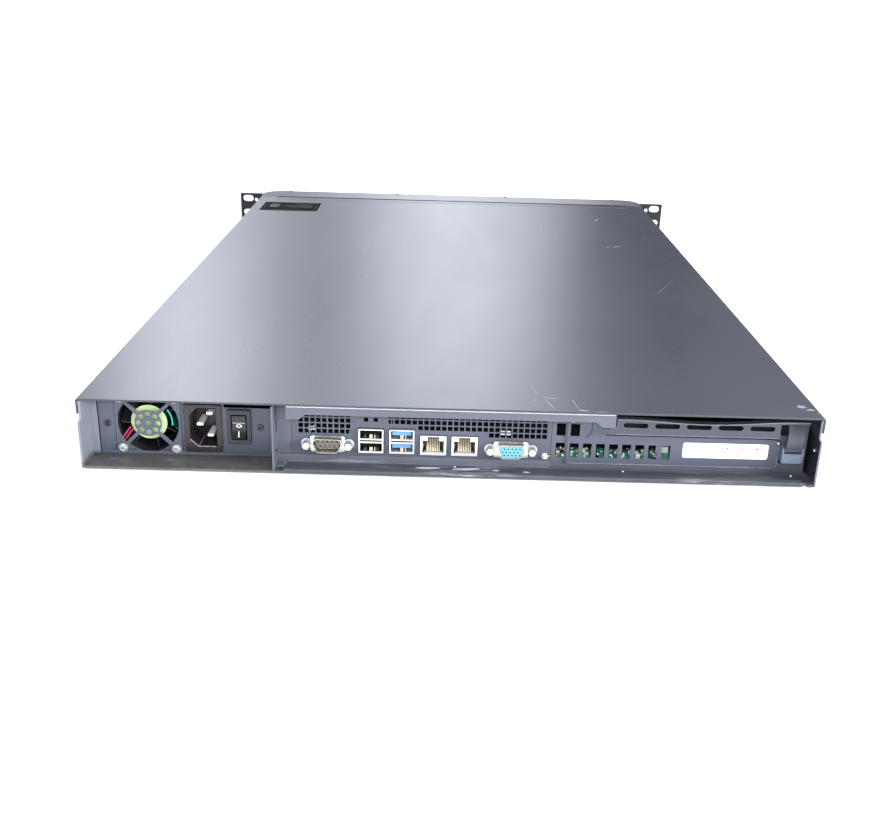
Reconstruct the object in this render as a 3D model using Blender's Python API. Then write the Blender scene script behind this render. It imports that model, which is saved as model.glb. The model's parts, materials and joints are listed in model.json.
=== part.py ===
"""Firewall appliance: a 1U rack-mount case with its power supply, mainboard, fans and drives.

Blender 4.5 script, metres, +Z up. The front bezel faces -Y and the rear sockets face +Y. The origin is
the centre of the whole object's footprint, on the plane the case rests on. Every size below is in
millimetres and becomes metres when a mesh is made.
"""

import math

import bmesh
import bpy
from mathutils import Vector
from mathutils.geometry import delaunay_2d_cdt

MM = 0.001
GAP = 0.3

# Driving dimensions
RACK_WIDTH = 482.6
CASE_WIDTH = 430.0
CASE_HEIGHT = 43.5
TOTAL_DEPTH = 670.0
BEZEL_PROUD = 20.0
SHEET = 1.2
THIN_SHEET = 1.0

# Planes that follow from them
HALF_WIDTH = CASE_WIDTH / 2
REAR = TOTAL_DEPTH / 2
FRONT = -TOTAL_DEPTH / 2
EAR_PLANE = FRONT + BEZEL_PROUD
COVER_FRONT = EAR_PLANE + 17.0
FLOOR = SHEET
COVER_UNDER = CASE_HEIGHT - SHEET
WALL_TOP = COVER_UNDER - GAP
UPPER_WALL = HALF_WIDTH - SHEET - GAP
FLANGE_BOTTOM = 34.0
JOGGLE_LOW = 28.3
JOGGLE_HIGH = 31.0

# Recess of each rear face behind the rear edge
RAIL_RECESS = 3.0
BAR_RECESS = 8.0
IO_RECESS = 15.0
SLOT_WALL_RECESS = 16.3
PSU_RECESS = 18.5

# Rear bays, along X
PSU_OUTER = 208.6
PSU_INNER = 104.6
DIVIDER = 103.5
IO_LEFT = 93.8
IO_RIGHT = -60.0
SLOT_COVER_LEFT = -69.4
SLOT_COVER_RIGHT = -195.9

# Fans
PSU_FAN_X = 179.7
PSU_FAN_Z = 21.5
FAN_SCREW_PITCH = 32.0
GRILLE_RADIUS = 18.5
GRILLE_DISC = 8.1
SPOKE = 2.0
CASE_FAN_X = (-160.0, -80.0, 0.0)
CASE_FAN_REAR = -31.0
CASE_FAN_Z = 21.7

# Mainboard
BOARD_TOP = 7.5
BOARD_THICKNESS = 1.6
BOARD_LEFT = 98.3
BOARD_WIDTH = 304.8
BOARD_DEPTH = 330.2
BOARD_REAR = REAR - 17.3
PORT_FLOOR = BOARD_TOP + GAP

FINISHES = {
    "case_paint": ((0.10, 0.11, 0.13), 0.45, 0.35),
    "inner_paint": ((0.16, 0.17, 0.20), 0.50, 0.35),
    "ear_paint": ((0.03, 0.03, 0.03), 0.55, 0.20),
    "zinc": ((0.62, 0.63, 0.65), 0.35, 1.00),
    "tin": ((0.80, 0.80, 0.78), 0.25, 1.00),
    "aluminium": ((0.74, 0.75, 0.76), 0.40, 1.00),
    "board": ((0.03, 0.22, 0.14), 0.45, 0.00),
    "black_plastic": ((0.02, 0.02, 0.02), 0.45, 0.00),
    "inlet_plastic": ((0.05, 0.03, 0.03), 0.40, 0.00),
    "white_plastic": ((0.80, 0.80, 0.76), 0.45, 0.00),
    "usb3_blue": ((0.05, 0.35, 0.75), 0.40, 0.00),
    "vga_blue": ((0.15, 0.55, 0.75), 0.40, 0.00),
    "lens": ((0.90, 0.85, 0.60), 0.15, 0.00),
    "cable": ((0.05, 0.05, 0.05), 0.60, 0.00),
}


def clear_scene():
    for item in list(bpy.data.objects):
        bpy.data.objects.remove(item, do_unlink=True)


def add_material(item, finish):
    colour, roughness, metallic = FINISHES[finish]
    material = bpy.data.materials.new(item.name)
    material.use_nodes = True
    shader = material.node_tree.nodes["Principled BSDF"]
    shader.inputs["Base Color"].default_value = (*colour, 1.0)
    shader.inputs["Roughness"].default_value = roughness
    shader.inputs["Metallic"].default_value = metallic
    item.data.materials.clear()
    item.data.materials.append(material)


def finish_object(name, mesh, finish, origin):
    """Turns a bmesh in millimetres into an object whose origin is at the given point."""
    for vertex in mesh.verts:
        vertex.co = (vertex.co - Vector(origin)) * MM
    bmesh.ops.recalc_face_normals(mesh, faces=mesh.faces)
    data = bpy.data.meshes.new(name)
    mesh.to_mesh(data)
    mesh.free()
    item = bpy.data.objects.new(name, data)
    bpy.context.collection.objects.link(item)
    item.location = Vector(origin) * MM
    add_material(item, finish)
    return item


def placed(a, b, along, axis):
    """The point of a section (a, b) at a distance along X, Y or Z."""
    if axis == "X":
        return Vector((along, a, b))
    if axis == "Y":
        return Vector((a, along, b))
    return Vector((a, b, along))


def contains(loop, point):
    """Whether a closed outline holds a point, by counting the edges to one side of it."""
    inside = False
    for (a, b), (c, d) in zip(loop, loop[1:] + loop[:1]):
        if (b > point.y) != (d > point.y) and point.x < a + (point.y - b) * (c - a) / (d - b):
            inside = not inside
    return inside


def triangulated(loops):
    """Triangles between an outline and its holes, as indices into the loops' points in order."""
    inside = 1
    points = [Vector(point) for loop in loops for point in loop]
    edges = []
    first = 0
    for loop in loops:
        count = len(loop)
        edges += [(first + index, first + (index + 1) % count) for index in range(count)]
        first += count
    result = delaunay_2d_cdt(points, edges, [], inside, 1e-6)
    triangles = []
    for corners in result[2]:
        indices = [result[3][corner][0] for corner in corners]
        middle = (points[indices[0]] + points[indices[1]] + points[indices[2]]) / 3
        if not any(contains(hole, middle) for hole in loops[1:]):
            triangles.append(indices)
    return triangles


def prism(name, outline, start, end, axis, finish, holes=(), origin=None):
    """Extrudes a closed outline with holes: (y, z) along X, (x, z) along Y, (x, y) along Z."""
    loops = [outline, *holes]
    faces = triangulated(loops)
    mesh = bmesh.new()
    ends = []
    for along in (start, end):
        ends.append([mesh.verts.new(placed(a, b, along, axis)) for loop in loops for a, b in loop])
    for side in ends:
        for corners in faces:
            mesh.faces.new([side[index] for index in corners])
    first = 0
    for loop in loops:
        count = len(loop)
        for index in range(count):
            a = first + index
            b = first + (index + 1) % count
            mesh.faces.new((ends[0][a], ends[0][b], ends[1][b], ends[1][a]))
        first += count
    if origin is None:
        middle = [(min(p[k] for p in outline) + max(p[k] for p in outline)) / 2 for k in (0, 1)]
        origin = placed(middle[0], middle[1], (start + end) / 2, axis)
    return finish_object(name, mesh, finish, origin)


def box(name, low, high, finish, origin=None):
    outline = rectangle(low[0], high[0], low[1], high[1])
    return prism(name, outline, low[2], high[2], "Z", finish, origin=origin)


def turned(name, profile, centre, axis, finish, sides=20, origin=None):
    """Revolves (radius, along) points about an axis. A radius of 0 is a point on the axis."""
    mesh = bmesh.new()
    rings = []
    for radius, along in profile:
        if radius == 0:
            rings.append([mesh.verts.new(placed(centre[0], centre[1], along, axis))])
            continue
        ring = []
        for a, b in circle(centre[0], centre[1], radius, sides):
            ring.append(mesh.verts.new(placed(a, b, along, axis)))
        rings.append(ring)
    for near, far in zip(rings, rings[1:]):
        for index in range(sides):
            after = (index + 1) % sides
            corners = [near[index % len(near)], near[after % len(near)]]
            corners += [far[after % len(far)], far[index % len(far)]]
            mesh.faces.new(list(dict.fromkeys(corners)))
    for ring in (rings[0], rings[-1]):
        if len(ring) > 1:
            mesh.faces.new(ring)
    if origin is None:
        origin = placed(centre[0], centre[1], profile[0][1], axis)
    return finish_object(name, mesh, finish, origin)


def as_helper(item):
    item.hide_render = True
    item.display_type = "WIRE"
    return item


def combine(target, operation, helpers):
    for helper in helpers:
        as_helper(helper)
        modifier = target.modifiers.new(helper.name, "BOOLEAN")
        modifier.operation = operation
        modifier.solver = "EXACT"
        modifier.object = helper


def fuse(target, *helpers):
    combine(target, "UNION", helpers)
    return target


def cut(target, *helpers):
    combine(target, "DIFFERENCE", helpers)
    return target


def smooth(item, angle=35):
    item.data.shade_smooth()
    item.data.set_sharp_from_angle(angle=math.radians(angle))
    return item


# Outlines


def rectangle(low_a, high_a, low_b, high_b):
    return [(low_a, low_b), (high_a, low_b), (high_a, high_b), (low_a, high_b)]


def arc(centre_a, centre_b, radius, start, end, steps):
    points = []
    for step in range(steps + 1):
        angle = math.radians(start + (end - start) * step / steps)
        points.append((centre_a + radius * math.cos(angle), centre_b + radius * math.sin(angle)))
    return points


def circle(centre_a, centre_b, radius, sides=24):
    return arc(centre_a, centre_b, radius, 0, 360, sides)[:-1]


def obround(centre_a, centre_b, length, width, steps=5):
    radius = width / 2
    reach = length / 2 - radius
    right = arc(centre_a + reach, centre_b, radius, -90, 90, steps)
    return right + arc(centre_a - reach, centre_b, radius, 90, 270, steps)


def rounded(low_a, high_a, low_b, high_b, radius, steps=3):
    points = arc(high_a - radius, low_b + radius, radius, -90, 0, steps)
    points += arc(high_a - radius, high_b - radius, radius, 0, 90, steps)
    points += arc(low_a + radius, high_b - radius, radius, 90, 180, steps)
    return points + arc(low_a + radius, low_b + radius, radius, 180, 270, steps)


def mirrored(half):
    """Closes an outline from its +X half, given from bottom to top."""
    return half + [(-a, b) for a, b in reversed(half)]


def d_shape(centre_x, centre_z, width, height):
    """A D-subminiature outline, wider at the top, with rounded corners."""
    top = width / 2
    slant = height * math.tan(math.radians(10))
    bottom = top - slant
    radius = height * 0.28
    points = arc(centre_x + bottom - radius, centre_z - height / 2 + radius, radius, -90, -10, 3)
    points += arc(centre_x + top - radius, centre_z + height / 2 - radius, radius, -10, 90, 3)
    points += arc(centre_x - top + radius, centre_z + height / 2 - radius, radius, 90, 190, 3)
    return points + arc(centre_x - bottom + radius, centre_z - height / 2 + radius, radius, 190, 270, 3)


# Casing


def make_chassis_base():
    half = [
        (HALF_WIDTH, 0),
        (HALF_WIDTH, JOGGLE_LOW),
        (UPPER_WALL, JOGGLE_HIGH),
        (UPPER_WALL, WALL_TOP),
        (UPPER_WALL - SHEET, WALL_TOP),
        (UPPER_WALL - SHEET, JOGGLE_HIGH),
        (HALF_WIDTH - SHEET, JOGGLE_LOW),
        (HALF_WIDTH - SHEET, FLOOR),
    ]
    base = prism("chassis_base", mirrored(half), COVER_FRONT + 0.6, REAR, "Y", "inner_paint")
    sink = 0.6
    hem = box("base_hem", (-207, REAR - 4, sink), (97, REAR, FLOOR + 1.2), "inner_paint")
    sill_back = REAR - IO_RECESS - THIN_SHEET
    sill = box("base_sill", (IO_RIGHT, sill_back, sink), (DIVIDER - 1.2, sill_back + THIN_SHEET, 5.6), "inner_paint")
    flange = [
        (PSU_OUTER + 0.4, FLOOR + 1.0),
        (HALF_WIDTH - 0.6, FLOOR + 1.0),
        (HALF_WIDTH - 0.6, JOGGLE_LOW),
        (UPPER_WALL - 0.6, JOGGLE_HIGH),
        (UPPER_WALL - 0.6, 40.0),
        (PSU_OUTER + 0.4, 40.0),
    ]
    edge = prism("base_edge_flange", flange, REAR - 18.0, REAR - 17.0, "Y", "inner_paint")
    standoffs = []
    for x in (84.0, -54.0, -192.0):
        for y in (BOARD_REAR - 10, BOARD_REAR - 165, BOARD_REAR - 320):
            name = f"standoff_{len(standoffs) + 1}"
            outline = circle(x, y, 3.2, 6)
            top = BOARD_TOP - BOARD_THICKNESS - GAP
            standoffs.append(prism(name, outline, sink, top, "Z", "zinc"))
    fuse(base, hem, sill, edge, *standoffs)
    notch = box("base_notch", (-210.5, REAR - 2.5, -1), (-207.2, REAR + 1, FLOOR + 3), "inner_paint")
    return cut(base, notch)


def make_top_cover():
    bend = 1.6
    steps = 3
    outer = [(HALF_WIDTH, FLANGE_BOTTOM)]
    outer += arc(HALF_WIDTH - bend, CASE_HEIGHT - bend, bend, 0, 90, steps)
    inner = arc(HALF_WIDTH - bend, CASE_HEIGHT - bend, bend - SHEET, 90, 0, steps)
    inner.append((HALF_WIDTH - SHEET, FLANGE_BOTTOM))
    left_outer = [(-a, b) for a, b in reversed(outer)]
    left_inner = [(-a, b) for a, b in reversed(inner)]
    outline = outer + left_outer + left_inner + inner
    return smooth(prism("top_cover", outline, COVER_FRONT + 0.6, REAR, "Y", "case_paint"))


def bezel_plan(inset, back):
    """Plan of the bezel, with rounded front corners, moved in by a wall thickness."""
    corner = 20.0
    side = HALF_WIDTH - inset
    front = FRONT + inset
    radius = corner - inset
    points = [(side, back)]
    points += arc(side - radius, front + radius, radius, 0, -90, 6)
    points += arc(-side + radius, front + radius, radius, -90, -180, 6)
    points.append((-side, back))
    return points


BUTTON_Z = 24.0
POWER_X = -186.0
RESET_X = -170.0
LAMP_X = (-158.0, -151.0, -144.0)
BEZEL_WALL = 2.0


def make_front_bezel():
    outer = bezel_plan(0, COVER_FRONT)
    bezel = prism("front_bezel", outer, 0.3, CASE_HEIGHT, "Z", "case_paint")
    inner = bezel_plan(BEZEL_WALL, COVER_FRONT + 5)
    hollow = prism("bezel_hollow", inner, 0.3 + BEZEL_WALL, CASE_HEIGHT - BEZEL_WALL, "Z", "case_paint")
    cutters = [hollow]
    groove_end, tab_x, tab_half, groove = 181.0, 80.0, 6.0, 2.6
    spans = ((-groove_end, -tab_x - tab_half), (tab_half - tab_x, tab_x - tab_half), (tab_x + tab_half, groove_end))
    for index, (start, end) in enumerate(spans):
        low = (start, COVER_FRONT - groove, CASE_HEIGHT - BEZEL_WALL - 1)
        high = (end, COVER_FRONT + 1, CASE_HEIGHT + 1)
        cutters.append(box(f"bezel_groove_{index + 1}", low, high, "case_paint"))
    through = (FRONT - 1, FRONT + BEZEL_WALL + 1)
    pitch = 8.0
    count = 38
    for index in range(count):
        x = -110.0 + index * pitch
        outline = rectangle(x - 2.2, x + 2.2, 9.0, 35.0)
        cutters.append(prism(f"bezel_slot_{index + 1}", outline, *through, "Y", "case_paint"))
    cutters.append(prism("bezel_power_hole", circle(POWER_X, BUTTON_Z, 5.3), *through, "Y", "case_paint"))
    cutters.append(prism("bezel_reset_hole", circle(RESET_X, BUTTON_Z, 1.9, 12), *through, "Y", "case_paint"))
    for index, x in enumerate(LAMP_X):
        name = f"bezel_lamp_hole_{index + 1}"
        cutters.append(prism(name, circle(x, BUTTON_Z, 1.8, 12), *through, "Y", "case_paint"))
    return smooth(cut(bezel, *cutters))


def make_front_panel():
    holes = []
    for index in range(7):
        x = -156.0 + index * 52.0
        holes.append(rounded(x - 20, x + 20, 9.0, 35.0, 3.0))
    outline = rectangle(-(UPPER_WALL - SHEET - GAP), UPPER_WALL - SHEET - GAP, FLOOR + GAP, WALL_TOP)
    start = COVER_FRONT + 2.0
    return prism("front_panel", outline, start, start + SHEET, "Y", "inner_paint", holes)


def make_ear(name, side):
    """A rack ear: a flange with three slots and a leg along the side of the case."""
    inner = HALF_WIDTH + GAP
    outer = RACK_WIDTH / 2
    thickness = 2.5
    slot_x = side * 232.55
    middle = CASE_HEIGHT / 2
    holes = [obround(slot_x, middle + step * 15.875, 11.8, 7.0) for step in (-1, 0, 1)]
    for z in (36.0, CASE_HEIGHT - 36.0):
        holes.append(circle(side * 223.4, z, 2.0, 12))
    outline = rectangle(min(side * inner, side * outer), max(side * inner, side * outer), 0.2, CASE_HEIGHT - 0.2)
    ear = prism(name, outline, EAR_PLANE - thickness, EAR_PLANE, "Y", "ear_paint", holes)
    far = inner + 2.0
    low = (min(side * inner, side * far), EAR_PLANE - 1.0, 3.0)
    high = (max(side * inner, side * far), EAR_PLANE + 62.0, FLANGE_BOTTOM - 1.0)
    return fuse(ear, box(name + "_leg", low, high, "ear_paint"))


# Power supply


def grille_quarter(turn):
    """A quarter of the grille's open ring, between two spokes at 45 degrees."""
    outer_trim = math.degrees(math.asin(SPOKE / 2 / GRILLE_RADIUS))
    inner_trim = math.degrees(math.asin(SPOKE / 2 / GRILLE_DISC))
    points = arc(PSU_FAN_X, PSU_FAN_Z, GRILLE_RADIUS, turn - 45 + outer_trim, turn + 45 - outer_trim, 10)
    return points + arc(PSU_FAN_X, PSU_FAN_Z, GRILLE_DISC, turn + 45 - inner_trim, turn - 45 + inner_trim, 6)


def fan_screw_places():
    reach = FAN_SCREW_PITCH / 2
    return [(PSU_FAN_X + a * reach, PSU_FAN_Z + b * reach) for a, b in ((-1, -1), (1, -1), (1, 1), (-1, 1))]


INLET_X = (135.5, 157.9)
INLET_Z = (4.6, 34.9)
SWITCH_X = (118.2, 132.4)
SWITCH_Z = (10.5, 32.2)
PSU_SCREWS = ((203.2, 21.3), (113.0, 20.8))


def make_psu_back_plate():
    holes = [grille_quarter(turn) for turn in (0, 90, 180, 270)]
    holes.append(circle(PSU_FAN_X, PSU_FAN_Z, 1.75, 10))
    for index in range(8):
        angle = math.radians(45 * index)
        x = PSU_FAN_X + 5.8 * math.cos(angle)
        holes.append(circle(x, PSU_FAN_Z + 5.8 * math.sin(angle), 1.75, 10))
    for x, z in fan_screw_places():
        holes.append(circle(x, z, 1.9, 10))
    for x, z in PSU_SCREWS:
        holes.append(circle(x, z, 1.5, 10))
    holes.append(rectangle(INLET_X[0] + 1.2, INLET_X[1] - 1.2, INLET_Z[0] + 1.2, INLET_Z[1] - 1.2))
    holes.append(rectangle(SWITCH_X[0] + 1.0, SWITCH_X[1] - 1.0, SWITCH_Z[0] + 1.0, SWITCH_Z[1] - 1.0))
    bottom, top, step_top, step_x = FLOOR + GAP, 41.3, 32.9, 134.2
    outline = [(PSU_INNER, bottom), (PSU_OUTER, bottom), (PSU_OUTER, top), (step_x, top)]
    outline += [(step_x, step_top), (PSU_INNER, step_top)]
    front = REAR - PSU_RECESS
    return prism("psu_back_plate", outline, front - THIN_SHEET, front, "Y", "inner_paint", holes)


PSU_CASE_REAR = REAR - PSU_RECESS - THIN_SHEET - GAP
PSU_CASE_FRONT = REAR - 200.0


def make_psu_case():
    skin = 0.7
    case = box(
        "psu_case",
        (PSU_INNER, PSU_CASE_FRONT, FLOOR + GAP),
        (PSU_OUTER, PSU_CASE_REAR, 41.6),
        "zinc",
    )
    hollow = box(
        "psu_case_hollow",
        (PSU_INNER + skin, PSU_CASE_FRONT + skin, FLOOR + GAP + skin),
        (PSU_OUTER - skin, PSU_CASE_REAR + 5, 41.6 - skin),
        "zinc",
    )
    cutters = [hollow]
    for index in range(8):
        x = 122.0 + index * 8.0
        outline = rounded(x - 2.5, x + 2.5, 10.0, 34.0, 2.0, 2)
        name = f"psu_vent_{index + 1}"
        cutters.append(prism(name, outline, PSU_CASE_FRONT - 1, PSU_CASE_FRONT + skin + 1, "Y", "zinc"))
    cutters.append(prism("psu_cable_hole", circle(112.5, 22.0, 4.5, 16), PSU_CASE_FRONT - 1,
                         PSU_CASE_FRONT + skin + 1, "Y", "zinc"))
    return cut(case, *cutters)


def make_psu_board():
    top = 6.6
    sink = 0.4
    board = box("psu_board", (109, 148, 5.0), (204, 286, top), "board")
    parts = [
        box("psu_transformer", (140, 195, top - sink), (172, 225, 32), "black_plastic"),
        box("psu_heat_sink_1", (118, 160, top - sink), (121, 230, 34), "aluminium"),
        box("psu_heat_sink_2", (186, 160, top - sink), (189, 230, 34), "aluminium"),
        turned("psu_capacitor", [(11, top - sink), (11, 30)], (153, 255), "Z", "black_plastic"),
    ]
    return fuse(board, *parts)


def fan_frame(name, centre_x, centre_z, side, rear, depth, bore, finish="black_plastic"):
    """A square fan frame with a round bore and, at its front end, a motor mount on three struts."""
    low = (centre_x - side / 2, centre_z - side / 2)
    high = (centre_x + side / 2, centre_z + side / 2)
    outline = rounded(low[0], high[0], low[1], high[1], 2.5, 2)
    reach = FAN_SCREW_PITCH / 2
    corners = ((-1, -1), (1, -1), (1, 1), (-1, 1))
    screws = [circle(centre_x + a * reach, centre_z + b * reach, 2.0, 6) for a, b in corners]
    strut_depth = 2.5
    front = rear - depth
    bore_hole = circle(centre_x, centre_z, bore, 24)
    body = prism(name, outline, front + strut_depth - 0.2, rear, "Y", finish, [bore_hole, *screws])
    openings = []
    for turn in (90, 210, 330):
        points = arc(centre_x, centre_z, bore - 0.3, turn - 54, turn + 54, 7)
        openings.append(points + arc(centre_x, centre_z, bore * 0.5, turn + 45, turn - 45, 4))
    mount = prism(name + "_mount", outline, front, front + strut_depth, "Y", finish, openings + screws)
    return smooth(fuse(body, mount))


def fan_rotor(name, centre_x, centre_z, rear, length, hub, tip, finish="black_plastic"):
    """A hub with seven twisted blades, drawn out of every fourth side of the hub."""
    sides = 28
    twist = math.radians(17)
    front = rear - length
    dome = 1.2
    mesh = bmesh.new()
    rings = []
    for along, radius in ((front, hub), (rear - dome, hub), (rear, hub - dome)):
        points = circle(centre_x, centre_z, radius, sides)
        rings.append([mesh.verts.new((a, along, b)) for a, b in points])
    mesh.faces.new(rings[0])
    mesh.faces.new(rings[2])
    blades = []
    for lower, upper in zip(rings, rings[1:]):
        for index in range(sides):
            after = (index + 1) % sides
            face = mesh.faces.new((lower[index], lower[after], upper[after], upper[index]))
            if lower is rings[0] and index % 4 == 0:
                blades.append(face)
    centre = Vector((centre_x, 0, centre_z))
    made = bmesh.ops.extrude_discrete_faces(mesh, faces=blades)
    middle = (front + rear) / 2
    for face in made["faces"]:
        heading = face.calc_center_median() - centre
        spread = Vector((-heading.z, 0, heading.x)).normalized()
        outward = Vector((heading.x, 0, heading.z)).normalized()
        for vertex in face.verts:
            offset = (vertex.co - centre).dot(spread)
            turn = twist if vertex.co.y > middle else -twist
            direction = outward * math.cos(turn) + spread * math.sin(turn)
            along = vertex.co.y
            point = centre + direction * tip + spread * offset * 0.4
            vertex.co = Vector((point.x, along, point.z))
    return smooth(finish_object(name, mesh, finish, (centre_x, middle, centre_z)))


def make_psu_fan():
    rear = PSU_CASE_REAR - GAP
    fan_frame("psu_fan_frame", PSU_FAN_X, PSU_FAN_Z, 38.2, rear, 20.0, 18.0)
    fan_rotor("psu_fan_rotor", PSU_FAN_X, PSU_FAN_Z, rear - 0.8, 15.5, 10.4, 17.2)


def make_psu_screws():
    front = REAR - PSU_RECESS
    for index, (x, z) in enumerate(fan_screw_places()):
        profile = [(0, front - 9), (1.35, front - 9), (1.35, front + 0.2), (2.9, front + 0.2)]
        profile += [(2.7, front + 1.1), (1.6, front + 1.9), (0, front + 2.1)]
        smooth(turned(f"psu_fan_screw_{index + 1}", profile, (x, z), "Y", "tin", 14))
    for index, (x, z) in enumerate(PSU_SCREWS):
        profile = [(0, front - 5), (1.1, front - 5), (1.1, front + 0.2), (2.3, front + 0.2)]
        profile += [(2.0, front + 0.9), (0, front + 0.9)]
        smooth(turned(f"psu_plate_screw_{index + 1}", profile, (x, z), "Y", "zinc", 14))


def inlet_outline(clearance):
    """The inlet's shroud opening: chamfered on the side of the earth pin, square on the other."""
    low_x, high_x = 138.9 + clearance, 154.6 - clearance
    low_z, high_z = 8.1 + clearance, 32.9 - clearance
    chamfer = 5.0
    return [
        (low_x, low_z),
        (high_x - chamfer, low_z),
        (high_x, low_z + chamfer),
        (high_x, high_z - chamfer),
        (high_x - chamfer, high_z),
        (low_x, high_z),
    ]


def make_inlet():
    front = REAR - PSU_RECESS
    flange = rounded(INLET_X[0], INLET_X[1], INLET_Z[0], INLET_Z[1], 1.0)
    face = front + 1.5
    body = prism("inlet_body", flange, front + GAP, face, "Y", "inlet_plastic")
    low = (INLET_X[0] + 1.5, INLET_Z[0] + 1.5)
    high = (INLET_X[1] - 1.5, INLET_Z[1] - 1.5)
    back = box("inlet_back", (low[0], front - 20, low[1]), (high[0], front + 0.6, high[1]), "inlet_plastic")
    fuse(body, back)
    cavity = prism("inlet_cavity", inlet_outline(0), front - 16, face + 1, "Y", "inlet_plastic")
    pins = {"earth": (149.6, 20.5), "line": (143.6, 27.5), "neutral": (143.6, 13.5)}
    sockets = []
    for label, (x, z) in pins.items():
        slot = rectangle(x - 2.3, x + 2.3, z - 1.3, z + 1.3)
        sockets.append(prism(f"inlet_slot_{label}", slot, front - 21, front - 15, "Y", "inlet_plastic"))
        blade = rounded(x - 2.0, x + 2.0, z - 1.0, z + 1.0, 0.5, 1)
        prism(f"inlet_pin_{label}", blade, front - 24, front - 3.5, "Y", "tin")
    return cut(body, cavity, *sockets)


ROCKER_PIVOT = (REAR - 19.6, 21.15)


def make_switch():
    front = REAR - PSU_RECESS
    face = front + 2.0
    flange = rounded(SWITCH_X[0], SWITCH_X[1], SWITCH_Z[0], SWITCH_Z[1], 1.0)
    frame = prism("switch_frame", flange, front + GAP, face, "Y", "black_plastic")
    low = (SWITCH_X[0] + 1.3, front - 16, SWITCH_Z[0] + 1.3)
    high = (SWITCH_X[1] - 1.3, front + 0.8, SWITCH_Z[1] - 1.3)
    fuse(frame, box("switch_back", low, high, "black_plastic"))
    well = rectangle(120.7, 129.9, 13.2, 29.1)
    cut(frame, prism("switch_well", well, front - 12, face + 1, "Y", "black_plastic"))
    pivot_y, pivot_z = ROCKER_PIVOT
    tilt = math.radians(7)
    outline = []
    reach = 7.2
    for a, b in ((4.4, -reach), (2.6, 0.0), (4.4, reach), (-2.6, reach * 0.55), (-2.6, -reach * 0.55)):
        y = pivot_y + a * math.cos(tilt) - b * math.sin(tilt)
        outline.append((y, pivot_z + a * math.sin(tilt) + b * math.cos(tilt)))
    pivot = (125.3, pivot_y, pivot_z)
    prism("switch_rocker", outline, 121.1, 129.5, "X", "black_plastic", origin=pivot)
    return frame


def make_psu_divider():
    low_y = PSU_CASE_FRONT
    wall_top = 41.5
    wall = box("psu_divider", (DIVIDER - SHEET, low_y, FLOOR + GAP), (DIVIDER, REAR, wall_top), "inner_paint")
    face = REAR - IO_RECESS
    web = (IO_LEFT + GAP, face - THIN_SHEET, 6.0)
    flange = box("divider_flange", web, (DIVIDER - 0.6, face, wall_top), "inner_paint")
    foot_low = (DIVIDER - 6.0, REAR - 12.0, FLOOR + GAP)
    foot = box("divider_foot", foot_low, (DIVIDER - 0.6, REAR - 5.0, FLOOR + 1.3), "inner_paint")
    return fuse(wall, flange, foot)


# Rear sockets and expansion bay

VENT_PITCH = 3.5
VENT_SIZE = 2.8
VENT_ROWS = (35.1, 31.6, 28.1, 24.6, 21.1)
LEFT_VENTS = (88.4, 9)
RIGHT_VENTS = (35.1, 27)
SERIAL = (72.6, 13.3)
VGA = (-36.3, 12.6)
D_POST_REACH = 12.5
USB2_X = 46.8
USB3_X = 28.5
RJ45_X = (9.9, -8.7)
ID_LED = (-56.8, 8.6)
USB_Z = (8.5, 23.7)
RJ45_Z = (PORT_FLOOR, 20.2)


def vent_holes():
    """Square ventilation holes in a grid, with fewer rows above the taller sockets."""
    holes = []
    half = VENT_SIZE / 2
    start, count = LEFT_VENTS
    columns = [(start - index * VENT_PITCH, 5) for index in range(count)]
    start, count = RIGHT_VENTS
    for index in range(count):
        rows = 3 if index < 5 else 4 if index < 17 else 5
        columns.append((start - index * VENT_PITCH, rows))
    for x, rows in columns:
        for z in VENT_ROWS[:rows]:
            holes.append(rectangle(x - half, x + half, z - half, z + half))
    return holes


def make_rear_io_plate():
    holes = vent_holes()
    for centre, half_width in ((SERIAL, 9.1), (VGA, 8.6)):
        x, z = centre
        holes.append(rectangle(x - half_width, x + half_width, z - 5.0, z + 5.0))
        for side in (-1, 1):
            holes.append(circle(x + side * D_POST_REACH, z, 2.8, 12))
    for x in (USB2_X, USB3_X):
        holes.append(rectangle(x - 7.8, x + 7.8, 8.1, USB_Z[1] + 0.4))
    for x in RJ45_X:
        holes.append(rectangle(x - 8.2, x + 8.2, 7.4, RJ45_Z[1] + 0.4))
    holes.append(circle(*ID_LED, 2.5, 12))
    for x in (49.8, 44.1):
        holes.append(rectangle(x - 1.35, x + 1.35, 27.7, 30.4))
    outline = rectangle(IO_RIGHT, IO_LEFT, 6.0, 41.3)
    face = REAR - IO_RECESS
    return prism("rear_io_plate", outline, face - THIN_SHEET, face, "Y", "inner_paint", holes)


def make_rear_top_rail():
    """The rail under the cover's rear edge: a web with deeper ends and a flange along its top."""
    end_x, low_z, high_z, top_z = 95.3, 33.0, 36.0, 41.0
    outline = [(-end_x, low_z), (-87.6, low_z), (-84.2, high_z), (84.2, high_z), (87.6, low_z)]
    outline += [(end_x, low_z), (end_x, top_z), (-end_x, top_z)]
    web_front = REAR - RAIL_RECESS
    rail = prism("rear_top_rail", outline, web_front - SHEET, web_front, "Y", "inner_paint")
    back = REAR - 13.5
    flange = box("rail_flange", (0.2 - end_x, back, 40.2), (end_x - 0.2, web_front - 0.4, 41.6), "inner_paint")
    ends = []
    for side in (-1, 1):
        low_x, high_x = sorted((side * (end_x - 0.4), side * (end_x - 0.4 - SHEET)))
        low = (low_x, back + 0.3, low_z + 0.4)
        ends.append(box(f"rail_end_{side}", low, (high_x, web_front - 0.5, 41.2), "inner_paint"))
    return fuse(rail, flange, *ends)


SLOT_PITCH = 7.8
SLOT_HOLE = (5.3, 9.2)
FIRST_SLOT_HOLE = -73.9


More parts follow.
